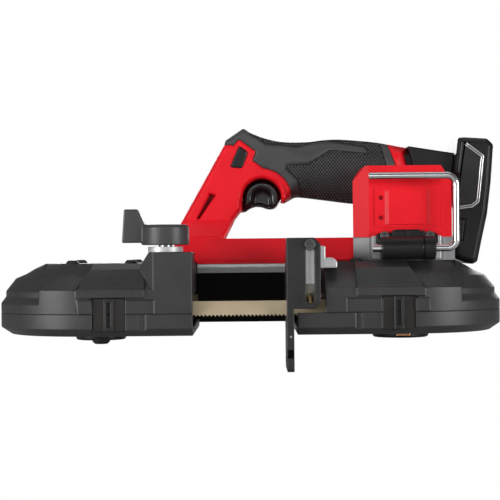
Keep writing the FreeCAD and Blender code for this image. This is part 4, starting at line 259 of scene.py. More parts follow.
WHOLE = ["motor_cover"]
DRESSES = [
    (SHELL, 0.6, ["left_upper_shell", "right_upper_shell", "left_lower_guard", "right_lower_guard"]),
    (KNOB, 0.9, ["tension_lever"]),
    (BLACK_STEEL, 0.3, ["handle_screws", "deck_screws", "idler_nut", "drive_cap"]),
    (CLIP, 0.25, ["clip_plates"]),
    (GUN, 0.25, ["bracket_screws", "shoe_screw"]),
    (BLACK_STEEL, 0.5, ["shoe"]),
    (ALU, 0.5, ["main_frame", "drive_wheel", "idler_wheel"]),
    (SATIN, 0.5, ["hook_backing"]),
    (CASE, 0.5, ["gear_case"]),
    (BRIGHT, 0.3, ["motor_bells"]),
    (SATIN, 0.3, ["tension_collar"]),
    (SATIN, 0.8, ["right_guide_arm"]),
    (GUARD_BLACK, 0.5, ["rear_guard"]),
    (BLACK, 0.5, ["switch_module"]),
    (BLACK, 1.0, ["battery_socket", "battery_case", "hook_bracket"]),
    (BLACK, 1.1, ["lock_button"]),
    (BLACK, 0.3, ["battery_latch_near", "battery_latch_far"]),
    (RED, 0.8, ["motor_cover"]),
    (PANEL, 0.2, ["battery_panels"]),
    (STEEL, 0.2, ["output_bearing", "output_shaft", "tension_slide", "tension_shaft", "left_guide_arm",
                  "motor_rotor", "ring_gear", "planet_gear_1", "planet_gear_2", "planet_gear_3", "idler_bearings"]),
    (ZINC, 0.3, ["hook_rod"]),
    (BRASS, 0.2, ["left_roller_front", "left_roller_back", "right_roller_front", "right_roller_back"]),
    (BRONZE, 0.2, ["drive_bush"]),
    (TYRE, 0.3, ["drive_tyre", "idler_tyre"]),
    (COPPER, 0.3, ["motor_stator"]),
    (BOARD, 0.2, ["control_board"]),
    (WRAP, 0.4, ["battery_cells"]),
]
for look, width, names in DRESSES:
    for name in names:
        dress(name, look, width, name not in WHOLE)


# Meshes made for the looks

def mesh_object(name, vertices, faces, material, body, smooth=True):
    mesh = bpy.data.meshes.new(name)
    mesh.from_pydata([tuple(c * MM for c in v) for v in vertices], [], faces)
    mesh.materials.append(material)
    mesh.validate()
    mesh.update()
    for face in mesh.polygons:
        face.use_smooth = smooth
    made = bpy.data.objects.new(name, mesh)
    bpy.context.scene.collection.objects.link(made)
    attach(made, body)
    return made


def merge(made, metres, mend=False):
    """Joins vertices that lie on each other and, to mend, drops empty faces and turns the rest outward."""
    work = bmesh.new()
    work.from_mesh(made.data)
    bmesh.ops.remove_doubles(work, verts=work.verts, dist=metres)
    if mend:
        bmesh.ops.dissolve_degenerate(work, edges=work.edges, dist=metres / 2)
        bmesh.ops.recalc_face_normals(work, faces=work.faces)
    work.to_mesh(made.data)
    work.free()


def face_look(made, material, chosen):
    """A second material on the faces whose middles are chosen in the side view."""
    made.data.materials.append(material)
    middles = [(face.center.x / MM, face.center.z / MM) for face in made.data.polygons]
    for face, picked in zip(made.data.polygons, chosen(middles)):
        face.material_index = int(picked)


def tube_faces(rings, sides):
    """Faces between rings of corners, with both ends closed."""
    faces = [(n * sides + k, n * sides + (k + 1) % sides, (n + 1) * sides + (k + 1) % sides, (n + 1) * sides + k)
             for n in range(rings - 1) for k in range(sides)]
    return faces + [tuple(range(sides - 1, -1, -1)), tuple((rings - 1) * sides + k for k in range(sides))]


def block(name, low, high, material, body, width):
    x, y, z = zip(low, high)
    corners = [(a, b, c) for c in z for b in y for a in x]
    faces = [(0, 2, 3, 1), (4, 5, 7, 6), (0, 1, 5, 4), (2, 6, 7, 3), (0, 4, 6, 2), (1, 3, 7, 5)]
    made = mesh_object(name, corners, faces, material, body)
    soften(made, width)
    return made


def bead(name, path, radius, material, body, sides=10):
    """Round bead along an open polyline with closed ends."""
    points = [Vector(p) for p in path]
    last = len(points) - 1
    depth = Vector((0, 1, 0))
    vertices = []
    for k, here in enumerate(points):
        along = (points[min(k + 1, last)] - points[max(k - 1, 0)]).normalized()
        side = along.cross(depth).normalized()
        for s in range(sides):
            turn = 2 * math.pi * s / sides
            vertices.append(here + side * radius * math.cos(turn) + depth * radius * math.sin(turn))
    return mesh_object(name, vertices, tube_faces(len(points), sides), material, body)


PEG_STEP_SHARE, PEG_RIM_SHARE, PEG_WELL_SHARE, PEG_FLOOR_SHARE = 0.3, 0.8, 0.4, 0.36


def peg(name, x, z, front, back, radius, material, body, sides=24):
    """Round head facing the viewer with a stepped rim and a sunk middle."""
    sunk = front + PEG_STEP_SHARE * radius
    rings = [(radius, back), (radius, sunk), (PEG_RIM_SHARE * radius, front), (PEG_WELL_SHARE * radius, front),
             (PEG_FLOOR_SHARE * radius, sunk)]
    turns = [2 * math.pi * k / sides for k in range(sides)]
    vertices = [(x + r * math.cos(t), y, z + r * math.sin(t)) for r, y in rings for t in turns]
    return mesh_object(name, vertices, tube_faces(len(rings), sides), material, body, smooth=False)


# Lines and areas in the side view

def curve_through(points, steps=8):
    """Smooth line through the points."""
    padded = [points[0]] + points + [points[-1]]
    line = []
    for corners in zip(padded, padded[1:], padded[2:], padded[3:]):
        for k in range(steps):
            t = k / steps
            line.append(tuple(0.5 * (2 * q + (r - p) * t + (2 * p - 5 * q + 4 * r - s) * t * t
                                     + (3 * q - p - 3 * r + s) * t ** 3) for p, q, r, s in zip(*corners)))
    return line + [points[-1]]


def divide(points, pitch, closed):
    ends = points[1:] + points[:1] if closed else points[1:]
    line = []
    for a, b in zip(points, ends):
        count = max(1, math.ceil(math.dist(a, b) / pitch))
        line += [(a[0] + (b[0] - a[0]) * k / count, a[1] + (b[1] - a[1]) * k / count) for k in range(count)]
    return line if closed else line + [points[-1]]


def distances(points, line, closed):
    """Least distance from each point to a polyline."""
    p = np.array(points)
    a = np.array(line)
    b = np.roll(a, -1, 0)
    if not closed:
        a, b = a[:-1], b[:-1]
    best = np.full(len(p), np.inf)
    for s, e in zip(a, b):
        d = e - s
        t = np.clip(((p - s) @ d) / max(d @ d, 1e-12), 0, 1)
        best = np.minimum(best, np.hypot(*(p - s - t[:, None] * d).T))
    return best


def inside(points, polygon):
    p = np.array(points)
    found = np.zeros(len(p), bool)
    for (x1, z1), (x2, z2) in zip(polygon, polygon[1:] + polygon[:1]):
        if z1 == z2:
            continue
        crossing = (p[:, 1] > z1) != (p[:, 1] > z2)
        found ^= crossing & (p[:, 0] < (x2 - x1) * (p[:, 1] - z1) / (z2 - z1) + x1)
    return found


def offset_points(line, depth, closed):
    """Points beside a polyline, depth to its left."""
    moved = []
    count = len(line)
    for k in range(count):
        a = line[k - 1] if k or closed else line[k]
        b = line[(k + 1) % count] if k < count - 1 or closed else line[k]
        dx, dz = b[0] - a[0], b[1] - a[1]
        size = math.hypot(dx, dz) or 1.0
        moved.append((line[k][0] - dz / size * depth, line[k][1] + dx / size * depth))
    return moved


def along_line(line, shares):
    """Places at shares of a polyline's length."""
    reach = np.concatenate([[0.0], np.cumsum([math.dist(a, b) for a, b in zip(line, line[1:])])])
    x, z = np.array(line).T
    return np.stack([np.interp(shares * reach[-1], reach, x), np.interp(shares * reach[-1], reach, z)], 1)


def ramp(value, low, high):
    """Smooth rise from 0 at low to 1 at high."""
    t = np.clip((value - low) / (high - low), 0, 1)
    return t * t * (3 - 2 * t)


def rounded(share, power):
    """Height of a rounded edge, 0 to 1, at a share of its width."""
    return (1 - (1 - np.clip(share, 0, 1)) ** power) ** (1 / power)


# Handle: a rounded body drawn from its side outline, given in shares of its length and rise

HANDLE_LEFT, HANDLE_LENGTH, BAR_TOP, HANDLE_RISE = -52.0, 192.0, 85.8, 77.3
STRUT = [(0.006, -0.14), (0.0, -0.02), (0.017, 0.142), (0.180, 0.860), (0.183, 0.893)]
HORN = [(0.236, 0.982), (0.248, 1.0), (0.260, 0.992)]
GRIP_TOP = [(0.280, 0.959), (0.333, 0.909), (0.392, 0.880), (0.481, 0.878), (0.540, 0.894), (0.599, 0.899),
            (0.688, 0.882), (0.753, 0.862), (0.847, 0.818)]
GRIP_UNDER = [(0.906, 0.274), (0.823, 0.280), (0.658, 0.307), (0.538, 0.345), (0.449, 0.371), (0.421, 0.349)]
GUARD = [(0.398, 0.317), (0.384, 0.322)]
STRUT_FOOT = [(0.239, 0.241), (0.218, 0.175), (0.179, -0.02), (0.160, -0.14)]
ZONE = [(0.170, 0.843), (0.209, 0.841), (0.215, 0.832), (0.230, 0.882), (0.239, 0.885), (0.295, 0.780),
        (0.283, 0.700), (0.322, 0.630), (0.339, 0.622), (0.368, 0.594), (0.394, 0.542), (0.409, 0.497),
        (0.421, 0.433), (0.424, 0.2), (0.850, 0.2), (0.800, 0.655), (0.776, 0.838), (0.760, 1.1), (0.170, 1.1)]
ARCH_X, ARCH_Z, ARCH_RADIUS, ARCH_FOOT, ARCH_LEG = 8.7, 113.7, 13.6, 104.6, 4.0
ARCH_TURNS = range(0, 181, 6)
POCKET = [(-28.0, 118.1), (-22.2, 116.6), (-34.6, 99.0), (-37.9, 99.3)]
SMOOTH_LINE = [(1.7, 157.4), (11.6, 151.1), (34.3, 148.7), (44.8, 152.3), (54.3, 153.3), (80.8, 148.4),
               (82.4, 144.7), (56.4, 147.4), (41.4, 137.9), (26.4, 136.9), (24.9, 134.2), (33.5, 126.3),
               (35.9, 118.5), (34.0, 108.0)]
SMOOTH_AREA = SMOOTH_LINE + [(20.0, 104.0), (-40.0, 104.0), (-40.0, 175.0), (-6.0, 168.0)]
END_LINE = [(91.0, 158.0), (92.4, 148.0), (95.6, 136.0), (103.5, 100.0)]
END_AREA = END_LINE + [(140.0, 100.0), (140.0, 158.0)]
LINE_PITCH = 1.2

# Skin: roundings, the lip round the trigger slot, seam grooves, the pocket and the flare on the bar
STRUT_ROUND, GRIP_ROUND, ROUND_FROM, ROUND_TO, SKIN_POWER = 3.6, 14.4, 16.0, 44.0, 2.3
SLOT_HALF, SLOT_RISE = 10.5, 6.9
LIP_ROUND, LIP_REACH, LIP_START, LIP_FULL = 2.6, 3.6, 3.5, 0.2
SEAM_DEPTH, SEAM_WIDTH, SEAM_FADE = 1.1, 0.5, 2.0
POCKET_DEPTH, POCKET_SLOPE, POCKET_EDGE = 3.2, 1.0, 0.9
FLARE_RISE, FLARE_DROP, FLARE_NEAR, FLARE_FAR = 12.75, 6.0, 12.4, 6.4

# Mesh points: rings inside the outline, rows beside each seam, a staggered fill and the room kept round them
RING_DEPTHS, RING_SHARE = (0.25, 0.7, 1.4, 2.4, 3.8, 5.5), 0.94
SEAM_ROWS = (0.5, -0.5, 1.0, -1.0)
FILL_PITCH, FILL_ROW_SHARE = 1.7, 0.866
OUTLINE_ROOM, SEAM_ROOM, SEAM_END_ROOM = 0.2, 0.3, 0.35
CDT_INSIDE, CDT_REACH = 1, 1e-5
SPOT_DIGITS, ARCH_ROOM, ARCH_BELOW = 3, 0.7, 1e-3
MERGE_METRES = 1e-6


def side_points(shares):
    return [(HANDLE_LEFT + HANDLE_LENGTH * u, BAR_TOP + HANDLE_RISE * v) for u, v in shares]


def arch_line(radius, turns):
    return [(ARCH_X + radius * math.cos(math.radians(a)), ARCH_Z + radius * math.sin(math.radians(a)))
            for a in turns]


def handle_outline():
    back = side_points(STRUT) + curve_through(side_points(HORN + GRIP_TOP))
    under = curve_through(side_points(GRIP_UNDER)) + curve_through(side_points(GUARD))
    foot = [(ARCH_X - ARCH_RADIUS, ARCH_FOOT)] + side_points(STRUT_FOOT)
    return divide(back + under + ARCH + foot, LINE_PITCH, True)


ARCH = arch_line(ARCH_RADIUS, ARCH_TURNS)
ARCH_LEGS = [(ARCH[0][0], ARCH_Z - ARCH_LEG)] + ARCH + [(ARCH[-1][0], ARCH_Z - ARCH_LEG)]
outline = handle_outline()
grip_zone = side_points(ZONE)
zone = divide(grip_zone, LINE_PITCH, True)
seams = [divide(SMOOTH_LINE, LINE_PITCH, False), divide(END_LINE, LINE_PITCH, False)]
pocket = divide(POCKET, LINE_PITCH, True)
LINES = [(zone, True), (seams[0], False), (seams[1], False), (pocket, True)]


def skin_height(spots):
    """Half thickness of the handle at side view places: round edges, seam grooves and the sunk pocket."""
    x, z = np.array(spots).T
    depth = distances(spots, outline, True)
    round_off = STRUT_ROUND + GRIP_ROUND * ramp(x, ROUND_FROM, ROUND_TO)
    height = HALF * rounded(depth / round_off, SKIN_POWER)
    height[depth < TINY] = 0.0
    near_arch = distances(spots, ARCH_LEGS, False)
    lip = SLOT_HALF + (HALF - SLOT_HALF) * rounded(near_arch / LIP_ROUND, SKIN_POWER)
    lip *= ramp(z, ARCH_Z - LIP_START, ARCH_Z - LIP_FULL)
    height = np.where(near_arch < LIP_REACH, np.maximum(height, lip), height)
    groove = SEAM_DEPTH * ramp(depth, 0.0, SEAM_FADE)
    height -= groove * np.exp(-(distances(spots, zone, True) / SEAM_WIDTH) ** 2)
    for seam in seams:
        height -= groove * inside(spots, grip_zone) * np.exp(-(distances(spots, seam, False) / SEAM_WIDTH) ** 2)
    return height - POCKET_DEPTH * inside(spots, pocket) * ramp(distances(spots, pocket, True), 0.0, POCKET_SLOPE)


def is_textured(spots):
    return inside(spots, grip_zone) & ~inside(spots, SMOOTH_AREA) & ~inside(spots, END_AREA)


# Faces deep inside the pocket, which get dark red as painted shade.
def is_sunk(spots):
    return inside(spots, pocket) & (distances(spots, pocket, True) > POCKET_EDGE)


def fill_points():
    """Places inside the outline that shape the skin between its lines."""
    loose = []
    for depth in RING_DEPTHS:
        for side in (1, -1):
            ring = offset_points(outline, side * depth, True)
            keep = inside(ring, outline) & (distances(ring, outline, True) > RING_SHARE * depth)
            loose += [q for q, k in zip(ring, keep) if k]
    for line, closed in LINES:
        for side in SEAM_ROWS:
            loose += offset_points(line, side, closed)
    xs, zs = zip(*outline)
    columns = int((max(xs) - min(xs)) / FILL_PITCH)
    rows = int((max(zs) - min(zs)) / FILL_PITCH / FILL_ROW_SHARE)
    loose += [(min(xs) + FILL_PITCH * (i + 0.5 * (j % 2)), min(zs) + FILL_PITCH * FILL_ROW_SHARE * j)
              for i in range(columns) for j in range(rows)]
    keep = inside(loose, outline) & (distances(loose, outline, True) > OUTLINE_ROOM)
    for line, closed in LINES:
        keep &= distances(loose, line, closed) > SEAM_ROOM
    return [q for q, k in zip(loose, keep) if k]


def handle_mesh():
    """Side view triangles of the handle, their heights and which of them lie on the grip."""
    points = list(outline)
    edges = [(k, (k + 1) % len(outline)) for k in range(len(outline))]
    for line, closed in LINES:
        keep = inside(line, outline) & (distances(line, outline, True) > SEAM_END_ROOM)
        first = len(points)
        points += line
        for k in range(len(line) if closed else len(line) - 1):
            n = (k + 1) % len(line)
            if keep[k] and keep[n]:
                edges.append((first + k, first + n))
    points += fill_points()
    found, _, faces, _, _, _ = delaunay_2d_cdt([Vector(q) for q in points], edges, [], CDT_INSIDE, CDT_REACH)
    spots = [(q.x, q.y) for q in found]
    centres = [tuple(sum(spots[i][c] for i in f) / len(f) for c in (0, 1)) for f in faces]
    within = inside(centres, outline)
    faces = [f for f, k in zip(faces, within) if k]
    centres = [c for c, k in zip(centres, within) if k]
    return spots, faces, skin_height(spots), inside(centres, grip_zone)


def spot_key(spot):
    return tuple(round(c, SPOT_DIGITS) for c in spot)


def trigger_slot(index, spots, height, vertices):
    """Faces between the near and far skins along the arch, with a slot above it that the trigger moves into."""
    place = {spot_key(q): k for k, q in enumerate(spots)}
    chain = [place[spot_key(q)] for q in outline if spot_key(q) in place]
    chain = [i for i in chain if i in index and height[i] > TINY
             and math.dist(spots[i], (ARCH_X, ARCH_Z)) < ARCH_RADIUS + ARCH_ROOM]
    arc = [i for i in chain if spots[i][1] > ARCH_Z - ARCH_BELOW]
    first = len(vertices)
    count = len(index)
    wide = len(arc)
    for side in (-1, 1):
        vertices += [(spots[i][0], MID + side * SLOT_HALF, spots[i][1] + SLOT_RISE) for i in arc]
    faces = []
    for i, j in zip(chain, chain[1:]):
        a, b = index[i], index[j]
        if i in arc and j in arc:
            p, q = first + arc.index(i), first + arc.index(j)
            faces += [(a, b, q, p), (a + count, p + wide, q + wide, b + count), (p, q, q + wide, p + wide)]
        else:
            faces.append((a, b, b + count, a + count))
    start, end = index[arc[0]], index[arc[-1]]
    last = first + wide - 1
    return faces + [(start, first, first + wide, start + count), (end, end + count, last + wide, last)]


def half_surfaces(name, spots, faces, height, material, slotted):
    """Near and far skins of the handle over the same outline."""
    used = sorted({i for f in faces for i in f})
    index = {i: k for k, i in enumerate(used)}
    above = np.array([spots[i][1] for i in used]) - BAR_TOP
    spread = np.clip(1 - above / FLARE_RISE, 0, 1) * np.clip(1 + above / FLARE_DROP, 0, 1) / HALF
    vertices = [(spots[i][0], MID - height[i] * (1 + FLARE_NEAR * f), spots[i][1]) for i, f in zip(used, spread)]
    vertices += [(spots[i][0], MID + height[i] * (1 + FLARE_FAR * f), spots[i][1]) for i, f in zip(used, spread)]
    count = len(used)
    skins = []
    for f in faces:
        a, b, c = [index[i] for i in f]
        p, q, r = (Vector(spots[i]) for i in f)
        if (q - p).cross(r - p) < 0:
            b, c = c, b
        skins += [(a, b, c), (a + count, c + count, b + count)]
    if slotted:
        skins += trigger_slot(index, spots, height, vertices)
    made = mesh_object(name, vertices, skins, material, "saw")
    merge(made, MERGE_METRES)
    return made


# Grip pads: their rows, columns and sizes, the room kept to lines, and the step that finds the skin's slope
PAD_ROW, PAD_PITCH, PAD_LOW, PAD_ROWS, PAD_COLUMNS = 1.4, 2.2, 95.0, 60, range(-2, 56)
PAD_BASE, PAD_TOP, PAD_SUNK, PAD_PROUD, PAD_SIDES = 0.84, 0.6, -0.1, 0.36, 6
PAD_OUTLINE_ROOM, PAD_SEAM_ROOM, SLOPE_STEP = 1.6, 1.1, 0.4


def grip_pads():
    """Small six-sided pads in staggered rows over the textured rubber, on both sides."""
    grid = [(PAD_PITCH * (i + 0.5 * (j % 2)), PAD_LOW + PAD_ROW * j) for i in PAD_COLUMNS for j in range(PAD_ROWS)]
    clear = inside(grid, outline) & is_textured(grid) & (distances(grid, outline, True) > PAD_OUTLINE_ROOM)
    for line, closed in LINES:
        clear &= distances(grid, line, closed) > PAD_SEAM_ROOM
    grid = [g for g, c in zip(grid, clear) if c]
    here = skin_height(grid)
    slope_x = (skin_height([(x + SLOPE_STEP, z) for x, z in grid]) - here) / SLOPE_STEP
    slope_z = (skin_height([(x, z + SLOPE_STEP) for x, z in grid]) - here) / SLOPE_STEP
    vertices, faces = [], []
    for side in (-1, 1):
        for (x, z), h, sx, sz in zip(grid, here, slope_x, slope_z):
            normal = Vector((-sx, side, -sz)).normalized()
            along = (Vector((1, 0, 0)) - normal * normal.x).normalized()
            across = normal.cross(along)
            centre = Vector((x, MID + side * h, z))
            first = len(vertices)
            for size, lift in ((PAD_BASE, PAD_SUNK), (PAD_TOP, PAD_PROUD)):
                for k in range(PAD_SIDES):
                    turn = 2 * math.pi * k / PAD_SIDES
                    out = along * math.cos(turn) + across * math.sin(turn)
                    vertices.append(centre + out * size + normal * lift)
            faces += [tuple(first + i for i in face) for face in tube_faces(2, PAD_SIDES)]
    return mesh_object("grip_pads", vertices, faces, PADS, "saw", smooth=False)


BAR_BASE, BAR_RIGHT, BAR_ROUND = 69.8, 73.2, 1.4
BAR_LIP_LEFT, BAR_LIP_RIGHT, BAR_LIP_BASE, BAR_LIP_TOP = -36.7, 47.5, 68.4, 70.5
BAR_LIP_INSET, BAR_LIP_ROUND = 0.3, 0.4

spots, faces, height, gripped = handle_mesh()
red_faces = [f for f, g in zip(faces, gripped) if not g]
grip_faces = [f for f, g in zip(faces, gripped) if g]
red_body = half_surfaces("handle_body", spots, red_faces, height, RED, True)
grip_body = half_surfaces("handle_grip", spots, grip_faces, height, GRIP, False)
pads = grip_pads()
bar = block("handle_bar", (HANDLE_LEFT, NEAR, BAR_BASE), (BAR_RIGHT, FAR, BAR_TOP), RED, "saw", BAR_ROUND)
lip = block("handle_bar_lip", (BAR_LIP_LEFT, NEAR + BAR_LIP_INSET, BAR_LIP_BASE),
            (BAR_LIP_RIGHT, FAR - BAR_LIP_INSET, BAR_LIP_TOP), RED, "saw", BAR_LIP_ROUND)
# The pocket's floor gets dark red as painted shade.
face_look(red_body, RED_PAINTED_SHADE, is_sunk)
face_look(grip_body, GROUND, is_textured)
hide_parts("handle_near", "handle_far")
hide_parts("grip_near", "grip_far")


# Toothed band on the line of the CAD blade

SPAN, LOOP_RADIUS, WIDTH, THICK, RISE, TWIST = 102.0, 58.5, 12.7, 0.6, 40.2, math.radians(43.0)
LEFT_GUIDE, RIGHT_GUIDE, TWIST_HOLD = -45.0, 38.0, 12.0
TOOTH_PITCH, TOOTH_DEPTH, ROOT_SHARE = 2.5, 1.35, 1.6
TOOTH = ((0.0, TOOTH_DEPTH), (0.30, TOOTH_DEPTH), (0.86, 0.0))


def wheel_frame(x, angle):
    out = Vector((math.cos(angle), math.sin(angle), 0))
    return Vector((x, 0, RISE)) + out * LOOP_RADIUS, out, Vector((0, 0, 1))


def band_frame(s):
    """Centre, outward thickness direction and width direction at a length along the loop."""
    turn_length = math.pi * LOOP_RADIUS
    if s < 2 * SPAN:
        x = -SPAN + s
        if x < LEFT_GUIDE:
            turn = TWIST * max(0.0, x + SPAN - TWIST_HOLD) / (LEFT_GUIDE + SPAN - TWIST_HOLD)
        elif x > RIGHT_GUIDE:
            turn = TWIST * max(0.0, SPAN - TWIST_HOLD - x) / (SPAN - TWIST_HOLD - RIGHT_GUIDE)
        else:
            turn = TWIST
        out = Vector((0, -math.cos(turn), math.sin(turn)))
        return Vector((x, -LOOP_RADIUS, RISE)), out, Vector((0, math.sin(turn), math.cos(turn)))
    s -= 2 * SPAN
    if s < turn_length:
        return wheel_frame(SPAN, -math.pi / 2 + s / LOOP_RADIUS)
    s -= turn_length
    if s < 2 * SPAN:
        return Vector((SPAN - s, LOOP_RADIUS, RISE)), Vector((0, 1, 0)), Vector((0, 0, 1))
    s -= 2 * SPAN
    return wheel_frame(-SPAN, math.pi / 2 + s / LOOP_RADIUS)


def blade_mesh():
    total = 4 * SPAN + 2 * math.pi * LOOP_RADIUS
    teeth = round(total / TOOTH_PITCH)
    rows = [((k + share) * total / teeth, cut) for k in range(teeth) for share, cut in TOOTH]
    vertices, faces = [], []
    for s, cut in rows:
        centre, out, across = band_frame(s)
        centre = centre + Vector((0, SHIFT, 0))
        for edge in (-WIDTH / 2 + cut, -WIDTH / 2 + TOOTH_DEPTH * ROOT_SHARE, WIDTH / 2):
            for side in (-THICK / 2, THICK / 2):
                vertices.append(centre + across * edge + out * side)
    count = len(rows)
    for k in range(count):
        a, b = 6 * k, 6 * ((k + 1) % count)
        faces += [(a, b, b + 2, a + 2), (a + 2, b + 2, b + 4, a + 4), (a + 1, a + 3, b + 3, b + 1),
                  (a + 3, a + 5, b + 5, b + 3), (a, a + 1, b + 1, b), (a + 4, b + 4, b + 5, a + 5)]
    made = mesh_object("toothed_blade", vertices, faces, BLADE, "saw", smooth=False)
    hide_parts("blade")


blade_mesh()


# Trigger: a glossy moulded finger pull with a hollowed face

TRIGGER_RADIUS, TRIGGER_FOOT, TRIGGER_TURNS = 13.1, 104.4, range(180, -1, -5)
TRIGGER_UNDER = [(-4.4, 104.4), (-2.6, 104.7), (0.4, 106.7), (4.3, 108.0), (8.5, 107.7), (12.0, 106.5),
                 (15.4, 106.2), (18.4, 107.3), (20.6, 110.2), (ARCH_X + TRIGGER_RADIUS, 113.2)]
TRIGGER_COLUMNS, TRIGGER_ROWS = 81, 25
TRIGGER_HALF, TRIGGER_ROUND, TRIGGER_POWER = 9.8, 2.6, 2.4
HOLLOW_DEPTH, HOLLOW_START, HOLLOW_FULL, HOLLOW_RIGHT, HOLLOW_END = 5.4, 4.6, 8.6, 13.0, 17.5


def trigger_mesh():
    shares = np.linspace(0, 1, TRIGGER_COLUMNS)
    top = arch_line(TRIGGER_RADIUS, TRIGGER_TURNS)
    upper = along_line([(ARCH_X - TRIGGER_RADIUS, TRIGGER_FOOT)] + top, shares)
    lower = along_line(curve_through(TRIGGER_UNDER), shares)
    rim = [tuple(q) for q in upper] + [tuple(q) for q in lower[::-1]]
    ease = 0.5 - 0.5 * np.cos(np.linspace(0, math.pi, TRIGGER_ROWS))
    grid = [tuple(u + (v - u) * s) for u, v in zip(upper, lower) for s in ease]
    depth = distances(grid, rim, True)
    share = np.clip(depth / TRIGGER_ROUND, 0, 1)
    height = TRIGGER_HALF * rounded(share, TRIGGER_POWER)
    hollow = ramp(distances(grid, top, False), HOLLOW_START, HOLLOW_FULL)
    hollow *= 1 - ramp(np.array(grid)[:, 0], HOLLOW_RIGHT, HOLLOW_END)
    height -= HOLLOW_DEPTH * hollow * share
    height[depth < TINY] = 0.0
    count = len(grid)
    vertices = [(x, MID + side * h, z) for side in (-1, 1) for (x, z), h in zip(grid, height)]
    faces = []
    for n in range(TRIGGER_COLUMNS - 1):
        for k in range(TRIGGER_ROWS - 1):
            a, b = n * TRIGGER_ROWS + k, (n + 1) * TRIGGER_ROWS + k
            faces += [(a, a + 1, b + 1, b), (a + count, b + count, b + 1 + count, a + 1 + count)]
    made = mesh_object("trigger_pull", vertices, faces, GLOSS, "trigger")
    merge(made, 2 * MERGE_METRES, mend=True)
    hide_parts("trigger")


trigger_mesh()


# Rim behind the trigger that closes the slit between trigger and arch, thinner towards its foot; its dark red is
# painted shade in the slit

RIM_SECTION = ((12.2, 11.0), (14.4, 11.0), (14.4, 14.0), (12.2, 14.0))
RIM_FOOT_RADIUS = 13.3


def trigger_rim():
    corners = len(RIM_SECTION)
    turns = [math.radians(a) for a in ARCH_TURNS]
    vertices = [(ARCH_X + r * math.cos(t), MID + y, ARCH_Z + r * math.sin(t)) for t in turns for r, y in RIM_SECTION]
    vertices += [(ARCH_X - max(r, RIM_FOOT_RADIUS), MID + y, ARCH_FOOT) for r, y in RIM_SECTION]
    rings = len(vertices) // corners
    return mesh_object("trigger_rim", vertices, tube_faces(rings, corners), RED_PAINTED_SHADE, "saw", smooth=False)


trigger_rim()


# Tension spring: a wire coil in the box of the CAD spring

WIRE_RADIUS, COIL_TURNS, TURN_STEPS = 0.6, 7, 24


def coil_path(low, high):
    middle_y, middle_z = (low.y + high.y) / 2, (low.z + high.z) / 2
    reach = (high.z - low.z) / 2 - WIRE_RADIUS
    length = high.x - low.x - 2 * WIRE_RADIUS
    path = []
    for t in np.linspace(0, 1, TURN_STEPS * COIL_TURNS + 1):
        turn = 2 * math.pi * COIL_TURNS * t
        path.append((low.x + WIRE_RADIUS + length * t, middle_y + reach * math.cos(turn),
                     middle_z + reach * math.sin(turn)))
    return path


low, high = (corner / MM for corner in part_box("tension_spring"))
spring = bead("tension_coil", coil_path(low, high), WIRE_RADIUS, STEEL, "saw")
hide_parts("tension_spring")
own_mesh(spring)


# Battery trim: two beads along the edge of each side panel

BATTERY_X, BATTERY_Z, TILT, BATTERY_FACE = 140.5, 127.0, math.radians(7.0), 29.4
PANEL_SHAPE = [(5.8, 23.6), (18.3, 16.4), (18.6, -15.1), (15.1, -18.7), (4.5, -21.4)]
TRIM_PITCH = 3.0
TRIMS = (("inner", -0.9, 0.4), ("outer", 0.5, 0.5))


def battery_spot(u, v, y):
    return (BATTERY_X + u * math.cos(TILT) + v * math.sin(TILT), y,
            BATTERY_Z - u * math.sin(TILT) + v * math.cos(TILT))


for side, where in ((-1, "near"), (1, "far")):
    for name, shift, size in TRIMS:
        edge = offset_points(divide(PANEL_SHAPE, TRIM_PITCH, False), shift, False)
        path = [battery_spot(u, v, MID + side * BATTERY_FACE) for u, v in edge]
        border = bead("battery_%s_trim_%s" % (name, where), path, size, TRIM, "battery")


# Small details: ribs on the hook bracket, the shoe's rivet and a near black block of painted shade in its notch, and
# painted shade on the floors of the motor cover's two dimples

RIB_PLACES, RIB_HALF, RIB_BASE, RIB_TOP = (94.4, 104.1, 114.3), 0.9, 83.6, 89.6
RIB_PLANE, RIB_PROUD, RIB_SUNK, RIB_ROUND = 1.6, 0.9, 0.5, 0.3
NOTCH_LEFT, NOTCH_RIGHT, NOTCH_BASE, NOTCH_TOP = 0.3, 4.3, 9.1, 13.9
NOTCH_PROUD, NOTCH_SUNK, NOTCH_ROUND = 0.2, 1.0, 0.2
RIVET_X, RIVET_Z, RIVET_PROUD, RIVET_SUNK, RIVET_RADIUS = 2.4, 22.6, 0.35, 0.3, 0.95
DIMPLE_X, DIMPLE_HEIGHTS, DIMPLE_FRONT, DIMPLE_BACK, DIMPLE_RADIUS = 87.0, (98.4, 111.6), -25.4, -25.1, 1.45

bracket_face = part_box("bracket_screws")[0].y / MM + RIB_PLANE
for k, x in enumerate(RIB_PLACES):
    rib = block("bracket_rib_%d" % (k + 1), (x - RIB_HALF, bracket_face - RIB_PROUD, RIB_BASE),
                (x + RIB_HALF, bracket_face + RIB_SUNK, RIB_TOP), BLACK, "saw", RIB_ROUND)

shoe_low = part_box("shoe")[0] / MM
# A near black block in the shoe's notch: painted shade.
notch = block("shoe_notch_painted_shade", (shoe_low.x + NOTCH_LEFT, shoe_low.y - NOTCH_PROUD, NOTCH_BASE),
              (shoe_low.x + NOTCH_RIGHT, shoe_low.y + NOTCH_SUNK, NOTCH_TOP), GAP_PAINTED_SHADE, "shoe", NOTCH_ROUND)
rivet = peg("shoe_rivet", shoe_low.x + RIVET_X, RIVET_Z, shoe_low.y - RIVET_PROUD, shoe_low.y + RIVET_SUNK,
            RIVET_RADIUS, ZINC, "shoe")

# Dark red floors in the cover's dimples: painted shade.
for k, z in enumerate(DIMPLE_HEIGHTS):
    dimple = peg("cover_dimple_%d" % k, DIMPLE_X, z, DIMPLE_FRONT, DIMPLE_BACK, DIMPLE_RADIUS, RED_PAINTED_SHADE, "saw")


